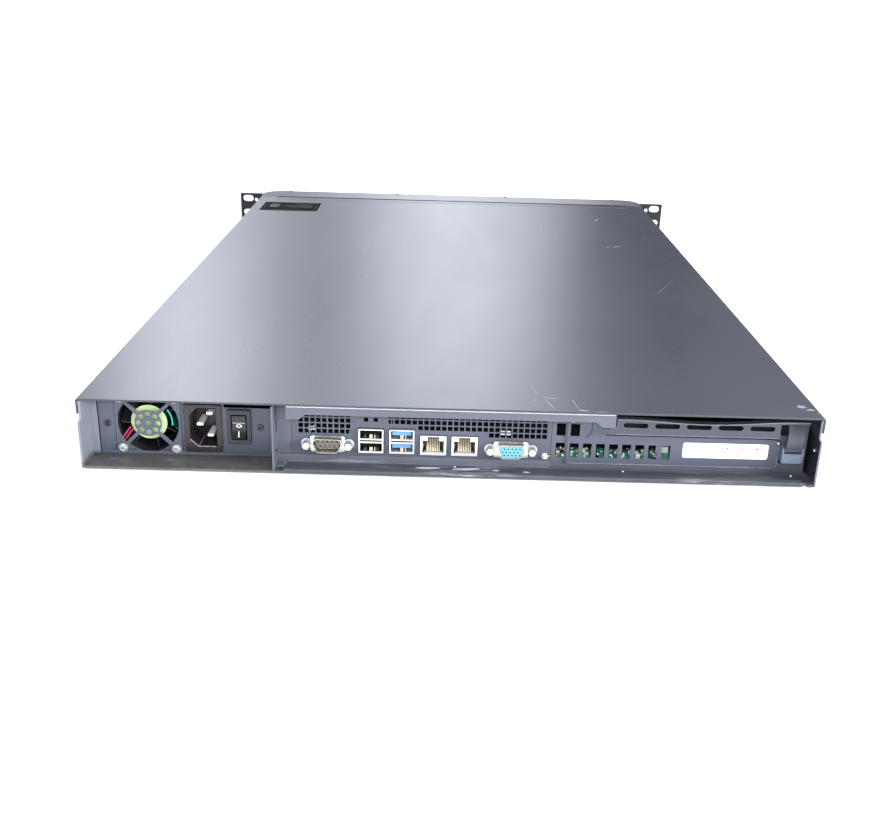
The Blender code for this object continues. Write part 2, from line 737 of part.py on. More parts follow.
def slot_cover_holes():
    holes = []
    for index in range(8):
        x = FIRST_SLOT_HOLE - index * SLOT_PITCH
        holes.append(rectangle(x - SLOT_HOLE[0] / 2, x + SLOT_HOLE[0] / 2, 8.3, 8.3 + SLOT_HOLE[1]))
    holes.append(rectangle(FIRST_SLOT_HOLE - 2.7, FIRST_SLOT_HOLE + 2.7, 22.1, 29.9))
    return holes


def make_slot_wall():
    low_x, high_x = -(UPPER_WALL - SHEET - GAP), IO_RIGHT - GAP
    low_z, high_z = FLOOR + GAP, 41.3
    gap_right, gap_left, gap_bottom = -196.0, -97.0, 29.2
    outline = [(low_x, low_z), (high_x, low_z), (high_x, high_z), (gap_left, high_z), (gap_left, gap_bottom)]
    outline += [(gap_right, gap_bottom), (gap_right, high_z), (low_x, high_z)]
    holes = [
        rectangle(-68.4, -63.0, 7.6, 17.0),
        rectangle(-68.4, -63.0, 21.7, 29.5),
        rectangle(-132.6, -70.6, 7.4, 18.6),
        rectangle(-77.4, -70.6, 21.3, 30.7),
        rectangle(-211.0, -196.2, 7.6, 16.8),
    ]
    face = REAR - SLOT_WALL_RECESS
    return prism("slot_wall", outline, face - THIN_SHEET, face, "Y", "inner_paint", holes)


def make_slot_cover():
    right, left = SLOT_COVER_RIGHT, SLOT_COVER_LEFT
    bottom, top, tab_top = 4.4, 23.0, 38.0
    tab_end = left - 23.0
    slit = left - 14.0
    corner = 4.5
    outline = arc(right + corner, top - corner, corner, 180, 90, 4)
    outline += [(tab_end, top), (tab_end, tab_top), (slit - 0.5, tab_top), (slit - 0.5, top + 0.8)]
    outline += [(slit, top + 0.8), (slit, tab_top), (left, tab_top), (left, bottom)]
    outline += arc(right + corner, bottom + corner, corner, 270, 180, 4)
    face = REAR - IO_RECESS
    return prism("slot_cover", outline, face - THIN_SHEET, face, "Y", "inner_paint", slot_cover_holes())


def bar_top(x):
    """Height of the bar's top edge, which sags a little between its ends."""
    reach = 209.0 - 97.0
    part = (-x - 97.0) / reach
    return 36.6 + 0.7 * part - 2.4 * math.sin(math.pi * min(1.0, part * 1.05)) ** 2


def make_slot_bar():
    """The card retaining bar across the expansion bay, with five slots and an arm over the latch."""
    steps = 14
    right_end = -209.5
    top = []
    for step in range(steps + 1):
        x = -97.0 + (right_end + 97.0) * step / steps
        top.append((x, bar_top(x)))
    web_end = -192.5
    arm = 1.3
    outline = top + [(right_end, bar_top(right_end) - arm), (web_end, bar_top(web_end) - arm)]
    outline += [(web_end, 26.7), (-92.6, 26.7), (-92.6, 30.5), (-97.0, 32.0)]
    holes = [obround(-107.9 - index * 18.5, 32.7, 14.7, 3.1) for index in range(5)]
    face = REAR - BAR_RECESS
    bar = prism("slot_bar", outline, face - SHEET, face, "Y", "inner_paint", holes)
    back = REAR - IO_RECESS + GAP
    shelf = box("bar_shelf", (-192.2, back, 26.9), (-97.6, face - 0.4, 27.9), "inner_paint")
    end = box("bar_end", (-98.6, back + 0.3, 27.2), (-97.3, face - 0.5, 36.2), "inner_paint")
    return fuse(bar, shelf, end)


LATCH_X = (-207.4, -197.4)
LATCH_PIVOT = (REAR - 11.6, 18.4)


def make_slot_latch():
    """A thumb leaf on a barrel. It bulges to the rear and swings down about the barrel."""
    pivot_y, pivot_z = LATCH_PIVOT
    bow = 15.0
    thickness = 1.3
    centre_y = REAR - 7.4 - bow
    centre_z = 27.4
    outline = arc(centre_y, centre_z, bow, -32, 31, 7)
    outline += arc(centre_y, centre_z, bow - thickness, 31, -36, 7)
    pivot = ((LATCH_X[0] + LATCH_X[1]) / 2, pivot_y, pivot_z)
    latch = prism("slot_latch", outline, *LATCH_X, "X", "black_plastic", origin=pivot)
    barrel = prism("latch_barrel", circle(pivot_y, pivot_z, 1.5, 12), *LATCH_X, "X", "black_plastic")
    return smooth(fuse(latch, barrel))


def make_latch_block():
    """The catch under the latch, with a lug at each end that holds the barrel."""
    lug = 0.9
    low_x, high_x = LATCH_X[0] - GAP - lug, LATCH_X[1] + GAP + lug
    front = REAR - 10.6
    block = box("latch_block", (low_x + 0.3, front - 10, 10.0), (high_x - 0.3, front, 16.0), "aluminium")
    lugs = []
    for index, (start, end) in enumerate(((low_x, LATCH_X[0] - GAP), (LATCH_X[1] + GAP, high_x))):
        outline = rounded(REAR - SLOT_WALL_RECESS + GAP, REAR - 9.7, 10.3, 20.2, 1.5, 2)
        lugs.append(prism(f"latch_lug_{index + 1}", outline, start, end, "X", "aluminium"))
    return fuse(block, *lugs)


def make_d_socket(name, centre, shell, cavity_depth, finish):
    """A D-shaped socket: a flange outside the plate, a shell with its hollow, two posts and a body."""
    x, z = centre
    face = REAR - IO_RECESS
    width, height = shell
    tip = face + 5.0
    flange = rounded(x - 10.4, x + 10.4, z - 5.2, z + 5.2, 1.5)
    socket = prism(name, flange, face + GAP, face + 1.0, "Y", finish)
    outer = d_shape(x, z, width, height)
    pieces = [prism(name + "_shell", outer, face - 2, tip, "Y", finish)]
    back = (x - 15.0, face - 14, PORT_FLOOR)
    pieces.append(box(name + "_body", back, (x + 15.0, face - THIN_SHEET - GAP, z + 6.3), finish))
    for side in (-1, 1):
        outline = circle(x + side * D_POST_REACH, z, 2.4, 6)
        pieces.append(prism(f"{name}_post_{side}", outline, face - 2, face + 5.2, "Y", finish))
    fuse(socket, *pieces)
    inner = d_shape(x, z, width - 1.0, height - 1.0)
    return cut(socket, prism(name + "_hollow", inner, tip - cavity_depth, tip + 2, "Y", finish))


def make_usb_stack(name, x, finish):
    """Two stacked sockets in one shell."""
    face = REAR - IO_RECESS
    outer = face + 2.0
    low = (x - 7.4, face - 15, USB_Z[0])
    stack = box(name, low, (x + 7.4, outer, USB_Z[1]), finish)
    cavities = []
    for index, z in enumerate((20.4, 12.3)):
        opening = rectangle(x - 6.4, x + 6.4, z - 2.6, z + 2.6)
        cavities.append(prism(f"{name}_cavity_{index + 1}", opening, outer - 10, outer + 1, "Y", finish))
    return cut(stack, *cavities)


def make_rj45(name, x):
    face = REAR - IO_RECESS
    outer = face + 1.2
    jack = box(name, (x - 7.8, face - 15, RJ45_Z[0]), (x + 7.8, outer, RJ45_Z[1]), "tin")
    floor, shoulder, key_top = 9.4, 16.6, 19.5
    half_width, key_half = 6.0, 3.1
    opening = [
        (x - half_width, floor),
        (x + half_width, floor),
        (x + half_width, shoulder),
        (x + key_half, shoulder),
        (x + key_half, key_top),
        (x - key_half, key_top),
        (x - key_half, shoulder),
        (x - half_width, shoulder),
    ]
    return cut(jack, prism(name + "_opening", opening, outer - 12, outer + 1, "Y", "tin"))


def make_id_led():
    face = REAR - IO_RECESS
    profile = [(0, face - 2), (1.9, face - 2), (1.9, face + 1.6), (1.2, face + 2.6), (0, face + 2.9)]
    return smooth(turned("id_led", profile, ID_LED, "Y", "lens", 14))


# Mainboard and what stands on it


def make_mainboard():
    low = (BOARD_LEFT - BOARD_WIDTH, BOARD_REAR - BOARD_DEPTH, BOARD_TOP - BOARD_THICKNESS)
    return box("mainboard", low, (BOARD_LEFT, BOARD_REAR, BOARD_TOP), "board")


CPU = (-22.0, 128.0)


def make_processor():
    x, y = CPU
    socket_top = 13.0
    outline = rounded(x - 24, x + 24, y - 26, y + 26, 2.0)
    prism("cpu_socket", outline, PORT_FLOOR, socket_top, "Z", "white_plastic")
    base_bottom = socket_top + GAP
    base_top = base_bottom + 5.0
    fins = 22
    pitch = 4.0
    left = x - fins * pitch / 2
    fin = 1.2
    outline = [(left, base_bottom), (left + (fins - 1) * pitch + fin, base_bottom)]
    for index in reversed(range(fins)):
        start = left + index * pitch
        outline += [(start + fin, 39.5), (start, 39.5)]
        if index:
            outline += [(start, base_top), (start - pitch + fin, base_top)]
    return prism("cpu_heatsink", outline, y - 44, y + 44, "Y", "aluminium")


def make_memory():
    x = -96.0
    slot = box("dimm_slot", (x - 3.2, 58, PORT_FLOOR), (x + 3.2, 198, 16.0), "black_plastic")
    cut(slot, box("dimm_groove", (x - 1.0, 61, 11.5), (x + 1.0, 195, 18), "black_plastic"))
    return box("dimm", (x - 0.6, 61.5, 12.0), (x + 0.6, 194.5, 40.0), "board")


def make_expansion_slot():
    x = -128.8
    slot = box("expansion_slot", (x - 3.8, 214, PORT_FLOOR), (x + 3.8, 308, 18.5), "white_plastic")
    return cut(slot, box("expansion_groove", (x - 1.0, 217, 11), (x + 1.0, 305, 20), "white_plastic"))


# Cooling and drives


def make_fan_bracket():
    back = CASE_FAN_REAR + GAP
    holes = [circle(x, CASE_FAN_Z, 18.4, 24) for x in CASE_FAN_X]
    holes.append(rounded(48, 78, 6, 30, 4.0))
    outline = rectangle(-(UPPER_WALL - SHEET - GAP), 98.0, FLOOR + GAP, 41.5)
    bracket = prism("fan_bracket", outline, back, back + THIN_SHEET, "Y", "zinc", holes)
    low = (-211.5, back + 0.4, FLOOR + GAP)
    return fuse(bracket, box("bracket_foot", low, (98.0, back + 10, FLOOR + 1.3), "zinc"))


def make_case_fans():
    for index, x in enumerate(CASE_FAN_X):
        fan_frame(f"fan_frame_{index + 1}", x, CASE_FAN_Z, 40.0, CASE_FAN_REAR, 28.0, 18.6)
        fan_rotor(f"fan_rotor_{index + 1}", x, CASE_FAN_Z, CASE_FAN_REAR - 1.0, 22.0, 11.0, 17.9)


DRIVE_SIZE = (101.6, 147.0, 26.1)
DRIVE_LEFT = (104.0, -8.0)
DRIVE_FRONT = -282.0


def make_drives():
    bottom = 4.6
    for index, x in enumerate(DRIVE_LEFT):
        low = (x, DRIVE_FRONT, bottom)
        high = (x + DRIVE_SIZE[0], DRIVE_FRONT + DRIVE_SIZE[1], bottom + DRIVE_SIZE[2])
        box(f"hard_drive_{index + 1}", low, high, "aluminium")
    wall = 1.0
    left = DRIVE_LEFT[1] - GAP - wall
    right = DRIVE_LEFT[0] + DRIVE_SIZE[0] + GAP + wall
    low_z = FLOOR + GAP
    outline = rectangle(left, right, DRIVE_FRONT - 2, DRIVE_FRONT + DRIVE_SIZE[1] + 2)
    cage = prism("drive_cage", outline, low_z, low_z + wall, "Z", "zinc")
    middle = (DRIVE_LEFT[1] + DRIVE_SIZE[0] + DRIVE_LEFT[0]) / 2
    walls = []
    for index, x in enumerate((left, middle - wall / 2, right - wall)):
        low = (x, DRIVE_FRONT - 2, low_z + 0.3)
        high = (x + wall, DRIVE_FRONT + DRIVE_SIZE[1] + 2, 24.0)
        walls.append(box(f"cage_wall_{index + 1}", low, high, "zinc"))
    return fuse(cage, *walls)


# Front controls


def make_front_controls():
    board_front = FRONT + 14.0
    outline = rectangle(-200, -136, 10, 38)
    prism("front_board", outline, board_front, board_front + 1.6, "Y", "board")
    stem_end = board_front - 2.6
    face = FRONT + 0.3
    profile = [(0, stem_end), (6.2, stem_end), (6.2, stem_end - 1.5), (4.9, stem_end - 1.5)]
    profile += [(4.9, face + 0.6), (4.3, face), (0, face)]
    smooth(turned("power_button", profile, (POWER_X, BUTTON_Z), "Y", "black_plastic", 24))
    profile = [(0, stem_end), (2.6, stem_end), (2.6, stem_end - 1.5), (1.5, stem_end - 1.5)]
    profile += [(1.5, face + 0.4), (1.1, face), (0, face)]
    smooth(turned("reset_button", profile, (RESET_X, BUTTON_Z), "Y", "black_plastic", 14))
    bar = box("light_pipe", (LAMP_X[0] - 2, board_front - 5, 22.2), (LAMP_X[-1] + 2, board_front - 1, 25.8), "lens")
    rods = []
    for index, x in enumerate(LAMP_X):
        profile = [(0, board_front - 4), (1.4, board_front - 4), (1.4, face + 0.6), (0.9, face), (0, face)]
        rods.append(turned(f"lamp_rod_{index + 1}", profile, (x, BUTTON_Z), "Y", "lens", 12))
    return fuse(bar, *rods)


# Cables


def tube(name, points, radius, finish):
    """A cable: a smooth curve through the given points, as one straight-segment spline."""
    samples = []
    last = len(points) - 1
    steps = 4
    for index in range(last):
        before = Vector(points[max(index - 1, 0)])
        start = Vector(points[index])
        end = Vector(points[index + 1])
        after = Vector(points[min(index + 2, last)])
        for step in range(steps):
            t = step / steps
            middle = (end - before) * t + (2 * before - 5 * start + 4 * end - after) * t * t
            samples.append(start + (middle + (3 * start - before - 3 * end + after) * t ** 3) / 2)
    samples.append(Vector(points[-1]))
    data = bpy.data.curves.new(name, "CURVE")
    data.dimensions = "3D"
    spline = data.splines.new("POLY")
    spline.points.add(len(samples) - 1)
    origin = samples[0]
    for point, sample in zip(spline.points, samples):
        point.co = (*((sample - origin) * MM), 1.0)
    data.bevel_depth = radius * MM
    data.bevel_resolution = 2
    data.use_fill_caps = True
    item = bpy.data.objects.new(name, data)
    bpy.context.collection.objects.link(item)
    item.location = origin * MM
    add_material(item, finish)
    return item


def make_cables():
    power = [(112.5, 137.0, 22.0), (112.5, 118.0, 22.0), (108.0, 96.0, 24.0), (96.0, 82.0, 26.0)]
    power += [(86.0, 74.0, 26.0), (82.0, 68.0, 22.0), (82.0, 66.0, 17.0)]
    tube("power_harness", power, 3.6, "cable")
    data = [(60.0, -130.0, 12.0), (60.0, -112.0, 12.0), (62.0, -80.0, 14.0), (64.0, -40.0, 18.0)]
    data += [(64.0, -20.0, 18.0), (62.0, 0.0, 20.0), (60.0, 12.0, 19.0), (60.0, 16.0, 15.0)]
    tube("drive_cable", data, 2.4, "cable")


def main():
    clear_scene()
    make_chassis_base()
    make_top_cover()
    make_front_bezel()
    make_front_panel()
    make_ear("ear_left", 1)
    make_ear("ear_right", -1)
    make_psu_back_plate()
    make_psu_case()
    make_psu_board()
    make_psu_fan()
    make_psu_screws()
    make_inlet()
    make_switch()
    make_psu_divider()
    make_rear_io_plate()
    make_rear_top_rail()
    make_slot_wall()
    make_slot_cover()
    make_slot_bar()
    make_slot_latch()
    make_latch_block()
    make_d_socket("serial_port", SERIAL, (17.4, 9.0), 5.5, "tin")
    make_d_socket("vga_port", VGA, (16.4, 8.8), 1.0, "vga_blue")
    make_usb_stack("usb2_stack", USB2_X, "tin")
    make_usb_stack("usb3_stack", USB3_X, "usb3_blue")
    for index, x in enumerate(RJ45_X):
        make_rj45(f"rj45_{index + 1}", x)
    make_id_led()
    make_mainboard()
    make_processor()
    make_memory()
    make_expansion_slot()
    make_fan_bracket()
    make_case_fans()
    make_drives()
    make_front_controls()
    make_cables()


main()
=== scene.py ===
"""Looks of the firewall appliance: materials, fine parts, floor, lights and camera."""

import json
import math
import random

import bmesh
import bpy
from mathutils import Matrix, Vector


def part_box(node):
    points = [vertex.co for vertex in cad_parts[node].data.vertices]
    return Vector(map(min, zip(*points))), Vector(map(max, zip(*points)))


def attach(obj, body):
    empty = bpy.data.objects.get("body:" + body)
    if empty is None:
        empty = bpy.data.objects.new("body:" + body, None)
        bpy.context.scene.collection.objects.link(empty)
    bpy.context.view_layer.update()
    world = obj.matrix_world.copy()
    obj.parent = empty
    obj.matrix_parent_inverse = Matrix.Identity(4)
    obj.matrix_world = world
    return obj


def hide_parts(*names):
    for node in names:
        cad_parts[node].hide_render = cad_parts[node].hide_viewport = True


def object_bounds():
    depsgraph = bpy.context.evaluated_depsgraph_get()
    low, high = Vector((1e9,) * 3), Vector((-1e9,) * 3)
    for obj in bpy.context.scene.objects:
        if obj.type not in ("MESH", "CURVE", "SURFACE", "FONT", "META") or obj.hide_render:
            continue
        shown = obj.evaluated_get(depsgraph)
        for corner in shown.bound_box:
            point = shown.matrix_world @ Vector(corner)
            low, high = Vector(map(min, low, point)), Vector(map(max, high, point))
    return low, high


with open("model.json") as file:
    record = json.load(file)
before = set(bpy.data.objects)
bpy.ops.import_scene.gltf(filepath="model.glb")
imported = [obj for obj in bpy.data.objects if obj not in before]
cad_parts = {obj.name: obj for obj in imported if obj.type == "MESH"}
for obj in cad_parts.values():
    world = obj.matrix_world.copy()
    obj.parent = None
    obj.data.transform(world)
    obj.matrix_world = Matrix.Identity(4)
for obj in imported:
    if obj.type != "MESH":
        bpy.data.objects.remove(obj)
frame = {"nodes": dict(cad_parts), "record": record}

MM = 0.001
nodes = frame["nodes"]
record = frame["record"]
body_of = {node: body for body, members in record["behaviour"]["bodies"].items() for node in members}
slot_of = {part["node"]: part["material_slot"] for part in record["subparts"]}
cad_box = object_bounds()


def extent(node):
    """Lowest and highest corner of a CAD node, in millimetres."""
    low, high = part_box(node)
    return low / MM, high / MM


def middle(node):
    low, high = extent(node)
    return (low + high) / 2


# Camera: the row frame's +Y is towards the viewer, so its basis is turned half round from the view's


def make_camera():
    place = Vector((0.006118, 0.893534, 0.265694))
    yaw = math.radians(0.26393404)
    pitch = math.radians(21.7751743)
    roll = math.radians(-1.64057217)
    forward = Vector((math.sin(yaw) * math.cos(pitch), math.cos(yaw) * math.cos(pitch), -math.sin(pitch)))
    right = Vector((math.cos(yaw), -math.sin(yaw), 0))
    down = forward.cross(right)
    rolled_right = right * math.cos(roll) + down * math.sin(roll)
    rolled_down = -right * math.sin(roll) + down * math.cos(roll)

    def turned_round(vector):
        return Vector((-vector.x, -vector.y, vector.z))

    basis = (turned_round(rolled_right), -turned_round(rolled_down), -turned_round(forward))
    data = bpy.data.cameras.new("camera")
    data.sensor_width = 36
    data.lens = 42.59
    data.clip_start = 0.01
    data.clip_end = 100
    camera = bpy.data.objects.new("camera", data)
    bpy.context.scene.collection.objects.link(camera)
    camera.matrix_world = Matrix.Translation(place) @ Matrix(basis).transposed().to_4x4()
    bpy.context.scene.camera = camera


make_camera()


# Materials


class NodeTree:
    """Adds nodes to a tree, with their links and values set."""

    def __init__(self, tree):
        self.tree = tree

    def add(self, kind, links=None, values=None, **properties):
        node = self.tree.nodes.new(kind)
        for key, value in properties.items():
            setattr(node, key, value)
        for key, value in (values or {}).items():
            node.inputs[key].default_value = value
        for key, socket in (links or {}).items():
            self.tree.links.new(socket, node.inputs[key])
        return node

    def calc(self, operation, first, second):
        node = self.add("ShaderNodeMath", operation=operation)
        for index, value in enumerate((first, second)):
            if isinstance(value, (int, float)):
                node.inputs[index].default_value = value
            else:
                self.tree.links.new(value, node.inputs[index])
        return node.outputs["Value"]

    def times(self, first, second):
        return self.calc("MULTIPLY", first, second)


class Finish(NodeTree):
    """A procedural material on a Principled shader. Coordinates are the row frame's, in metres."""

    def __init__(self, name, **uniform):
        self.material = bpy.data.materials.new(name)
        self.material.use_nodes = True
        super().__init__(self.material.node_tree)
        self.shader = self.tree.nodes["Principled BSDF"]
        for key, value in uniform.items():
            self.shader.inputs[key.replace("_", " ")].default_value = value
        self.place = self.add("ShaderNodeTexCoord").outputs["Object"]

    def stretched(self, stretch):
        return self.add("ShaderNodeMapping", {"Vector": self.place}, {"Scale": stretch}).outputs["Vector"]

    def noise(self, scale, detail=3.0, rough=0.5, stretch=(1, 1, 1), warp=0.0):
        values = {"Scale": scale, "Detail": detail, "Roughness": rough, "Distortion": warp}
        return self.add("ShaderNodeTexNoise", {"Vector": self.stretched(stretch)}, values).outputs["Fac"]

    def cells(self, scale, feature="F1", metric="EUCLIDEAN", stretch=(1, 1, 1), output="Distance"):
        node = self.add("ShaderNodeTexVoronoi", {"Vector": self.stretched(stretch)}, {"Scale": scale})
        node.feature = feature
        if feature in ("F1", "F2"):
            node.distance = metric
        return node.outputs[output]

    def between(self, value, low, high, to_low=0.0, to_high=1.0):
        """Maps low..high of a value to another range, held at its ends."""
        values = {"From Min": low, "From Max": high, "To Min": to_low, "To Max": to_high}
        return self.add("ShaderNodeMapRange", {"Value": value}, values, clamp=True).outputs["Result"]

    def mixed(self, factor, first, second):
        """A colour between two, each a tuple or a socket."""
        node = self.add("ShaderNodeMix", data_type="RGBA")
        self.tree.links.new(factor, node.inputs["Factor"])
        for name, colour in (("A", first), ("B", second)):
            socket = next(s for s in node.inputs if s.name == name and s.type == "RGBA")
            if isinstance(colour, tuple):
                socket.default_value = (*colour, 1)
            else:
                self.tree.links.new(colour, socket)
        return next(s for s in node.outputs if s.type == "RGBA")

    def axis(self, name):
        return self.add("ShaderNodeSeparateXYZ", {"Vector": self.place}).outputs[name]

    def edge(self, radius, low=0.02, high=0.25):
        """1 along edges sharper than a radius, in millimetres, and 0 on flats."""
        rounded = self.add("ShaderNodeBevel", values={"Radius": radius * MM}, samples=4).outputs["Normal"]
        flat = self.add("ShaderNodeNewGeometry").outputs["Normal"]
        node = self.add("ShaderNodeVectorMath", {0: rounded, 1: flat}, operation="DOT_PRODUCT")
        return self.between(self.calc("SUBTRACT", 1.0, node.outputs["Value"]), low, high)

    def colour(self, socket):
        self.tree.links.new(socket, self.shader.inputs["Base Color"])
        return self

    def rough(self, socket):
        self.tree.links.new(socket, self.shader.inputs["Roughness"])
        return self

    def metal(self, socket):
        self.tree.links.new(socket, self.shader.inputs["Metallic"])
        return self

    def bumps(self, *layers):
        """Each layer is (height socket, depth in millimetres)."""
        normal = None
        for height, depth in layers:
            links = {"Height": height}
            if normal is not None:
                links["Normal"] = normal
            values = {"Strength": 1.0, "Distance": depth * MM}
            normal = self.add("ShaderNodeBump", links, values).outputs["Normal"]
        self.tree.links.new(normal, self.shader.inputs["Normal"])
        return self


def plain(name, dark, light, rough, patch=30, grain=900, depth=0.02, stretch=(1, 1, 1), **uniform):
    """Two close colours in soft patches, uneven roughness and a fine grain."""
    finish = Finish(name, **uniform)
    finish.colour(finish.mixed(finish.between(finish.noise(patch, 4, 0.6, stretch), 0.3, 0.7), dark, light))
    finish.rough(finish.between(finish.noise(patch * 3, 3, 0.6, stretch), 0.3, 0.7, *rough))
    return finish.bumps((finish.noise(grain, 2, 0.6, stretch), depth)).material


def metal(name, dark, light, rough, shine=1.0, patch=200, depth=0.006):
    return plain(name, dark, light, rough, patch, 900, depth, Metallic=shine)


# Also makes the finishes of the painted highlights and the painted reflections, besides real wear.
def worn(name, dark, light, rough, patch, shine=0.2, depth=0.01, stretch=(1, 1, 1)):
    return plain(name, dark, light, rough, patch, 1500, depth, stretch, Metallic=shine)


def plastic(name, dark, light, rough, grain=1200, depth=0.01, **uniform):
    return plain(name, dark, light, rough, 60, grain, depth, **uniform)


def cable(name, dark, light, rough):
    return plain(name, dark, light, rough, 100, 900, 0.01)


def powder_coat(name, dark, light, rough, worn=(0.35, 0.37, 0.42)):
    """Fine textured paint with handling marks, dust and slightly rubbed edges."""
    finish = Finish(name)
    base = finish.mixed(finish.between(finish.noise(9, 4, 0.6), 0.3, 0.7), dark, light)
    dust = finish.between(finish.noise(700, 2, 0.7), 0.66, 0.78)
    base = finish.mixed(finish.times(dust, 0.22), base, worn)
    rubbed = finish.times(finish.edge(0.5), finish.between(finish.noise(60, 3), 0.35, 0.7))
    finish.colour(finish.mixed(finish.times(rubbed, 0.55), base, worn))
    wiped = finish.between(finish.noise(7, 5, 0.65, (1, 0.25, 1), 0.6), 0.3, 0.7, *rough)
    speckle = finish.between(finish.noise(1400, 2), 0.3, 0.7, -0.03, 0.03)
    finish.rough(finish.calc("ADD", wiped, speckle))
    return finish.bumps((finish.noise(1500, 2, 0.6), 0.012), (finish.cells(900), 0.008)).material


def base_paint():
    """The chassis paint: rubbed along the rear lip, dusty by the supply, with painted shade on the inner face
    of one side wall and painted light on the inner face of the other, by the supply.
    """
    finish = Finish("chassis_paint")
    across, along, height = finish.axis("X"), finish.axis("Y"), finish.axis("Z")
    patches = finish.between(finish.noise(12, 4, 0.6), 0.3, 0.7)
    base = finish.mixed(patches, (0.088, 0.095, 0.120), (0.108, 0.116, 0.144))
    normal = finish.add("ShaderNodeNewGeometry").outputs["Normal"]
    facing = finish.add("ShaderNodeSeparateXYZ", {"Vector": normal}).outputs["X"]
    # Painted light: the inner face of the side wall by the supply is made lighter near the rear.
    pocket = finish.times(finish.between(across, 0.2025, 0.2045), finish.between(along, 0.305, 0.314))
    pocket = finish.times(pocket, finish.between(facing, 0.5, 0.2))
    base = finish.mixed(pocket, base, (0.15, 0.165, 0.20))
    # Painted shade: the inner face of the other side wall is made near black.
    shaded = finish.times(finish.between(across, -0.2075, -0.2105), finish.between(facing, 0.0, 0.6))
    base = finish.mixed(shaded, base, (0.016, 0.016, 0.02))
    low_down = finish.between(height, 0.0045, 0.002)
    on_floor = finish.times(low_down, finish.between(along, 0.312, 0.318))
    near_lip = finish.times(low_down, finish.between(along, 0.3195, 0.3225))
    base = finish.mixed(near_lip, base, (0.046, 0.049, 0.058))
    dusty = finish.times(on_floor, finish.between(across, 0.095, 0.108))
    specks = finish.between(finish.noise(420, 5, 0.75), 0.3, 0.7)
    base = finish.mixed(dusty, base, finish.mixed(specks, (0.050, 0.048, 0.048), (0.110, 0.105, 0.102)))
    streak = finish.between(finish.noise(330, 5, 0.7, (0.1, 1, 1)), 0.52, 0.62)
    zone = finish.times(on_floor, finish.between(across, 0.09, 0.075))
    zone = finish.times(zone, finish.between(finish.noise(14, 3), 0.45, 0.62, 0.04, 0.8))
    rubbed = finish.times(finish.edge(0.5), finish.between(finish.noise(50, 3), 0.3, 0.65))
    bare = finish.calc("MAXIMUM", finish.times(streak, zone), finish.times(rubbed, 0.6))
    finish.colour(finish.mixed(bare, base, (0.50, 0.51, 0.55)))
    finish.metal(finish.times(bare, 0.8))
    finish.rough(finish.between(finish.noise(20, 4, 0.6), 0.3, 0.7, 0.3, 0.46))
    mottle = finish.noise(180, 4, 0.7)
    return finish.bumps((mottle, 0.1), (finish.noise(1500, 2, 0.6), 0.012), (bare, 0.02)).material


def brushed(name, dark, light, rough, stretch=(0.04, 1, 1), depth=0.01):
    finish = Finish(name, Metallic=1.0)
    lines = finish.noise(900, 4, 0.7, stretch)
    finish.colour(finish.mixed(finish.between(lines, 0.3, 0.7), dark, light))
    finish.rough(finish.between(finish.noise(60, 3, 0.6, stretch), 0.3, 0.7, *rough))
    return finish.bumps((lines, depth)).material


def zinc_plate():
    """Galvanised sheet with soft crystals."""
    finish = Finish("zinc", Metallic=1.0)
    crystals = finish.cells(160, output="Color")
    shade = finish.add("ShaderNodeSeparateColor", {"Color": crystals}).outputs["Red"]
    finish.colour(finish.mixed(shade, (0.50, 0.51, 0.53), (0.66, 0.67, 0.69)))
    finish.rough(finish.between(shade, 0, 1, 0.28, 0.42))
    return finish.bumps((finish.noise(300, 3), 0.01)).material


def circuit_board(name, mask=(0.02, 0.20, 0.15), trace=(0.05, 0.33, 0.25)):
    """Solder mask over copper tracks, with tinned holes."""
    finish = Finish(name, Specular_IOR_Level=0.6)
    web = finish.cells(260, "DISTANCE_TO_EDGE", stretch=(1, 0.35, 1))
    web_across = finish.cells(200, "DISTANCE_TO_EDGE", stretch=(0.3, 1, 1))
    tracks = finish.calc("MAXIMUM", finish.between(web, 0.07, 0.05), finish.between(web_across, 0.06, 0.045))
    area = finish.between(finish.noise(25, 2), 0.45, 0.5)
    green = finish.mixed(finish.times(tracks, area), mask, trace)
    vias = finish.between(finish.cells(330), 0.16, 0.12)
    vias = finish.times(vias, finish.between(finish.noise(40, 2), 0.5, 0.55))
    finish.colour(finish.mixed(vias, green, (0.65, 0.66, 0.6)))
    finish.metal(vias)
    finish.rough(finish.between(finish.noise(80, 3), 0.3, 0.7, 0.28, 0.42))
    return finish.bumps((tracks, 0.03), (vias, 0.02)).material


def clear_lens():
    finish = Finish("lens", Transmission_Weight=0.35, IOR=1.49, Base_Color=(0.9, 0.88, 0.74, 1))
    finish.rough(finish.between(finish.noise(400, 2), 0.3, 0.7, 0.12, 0.25))
    return finish.bumps((finish.noise(300, 2), 0.01)).material


case_paint = powder_coat("case_paint", (0.028, 0.029, 0.036), (0.034, 0.036, 0.044), (0.27, 0.34))
catch_paint = powder_coat("catch_paint", (0.10, 0.125, 0.18), (0.15, 0.18, 0.245), (0.3, 0.4))
rear_paint = powder_coat("rear_paint", (0.072, 0.079, 0.100), (0.088, 0.096, 0.120), (0.36, 0.46))
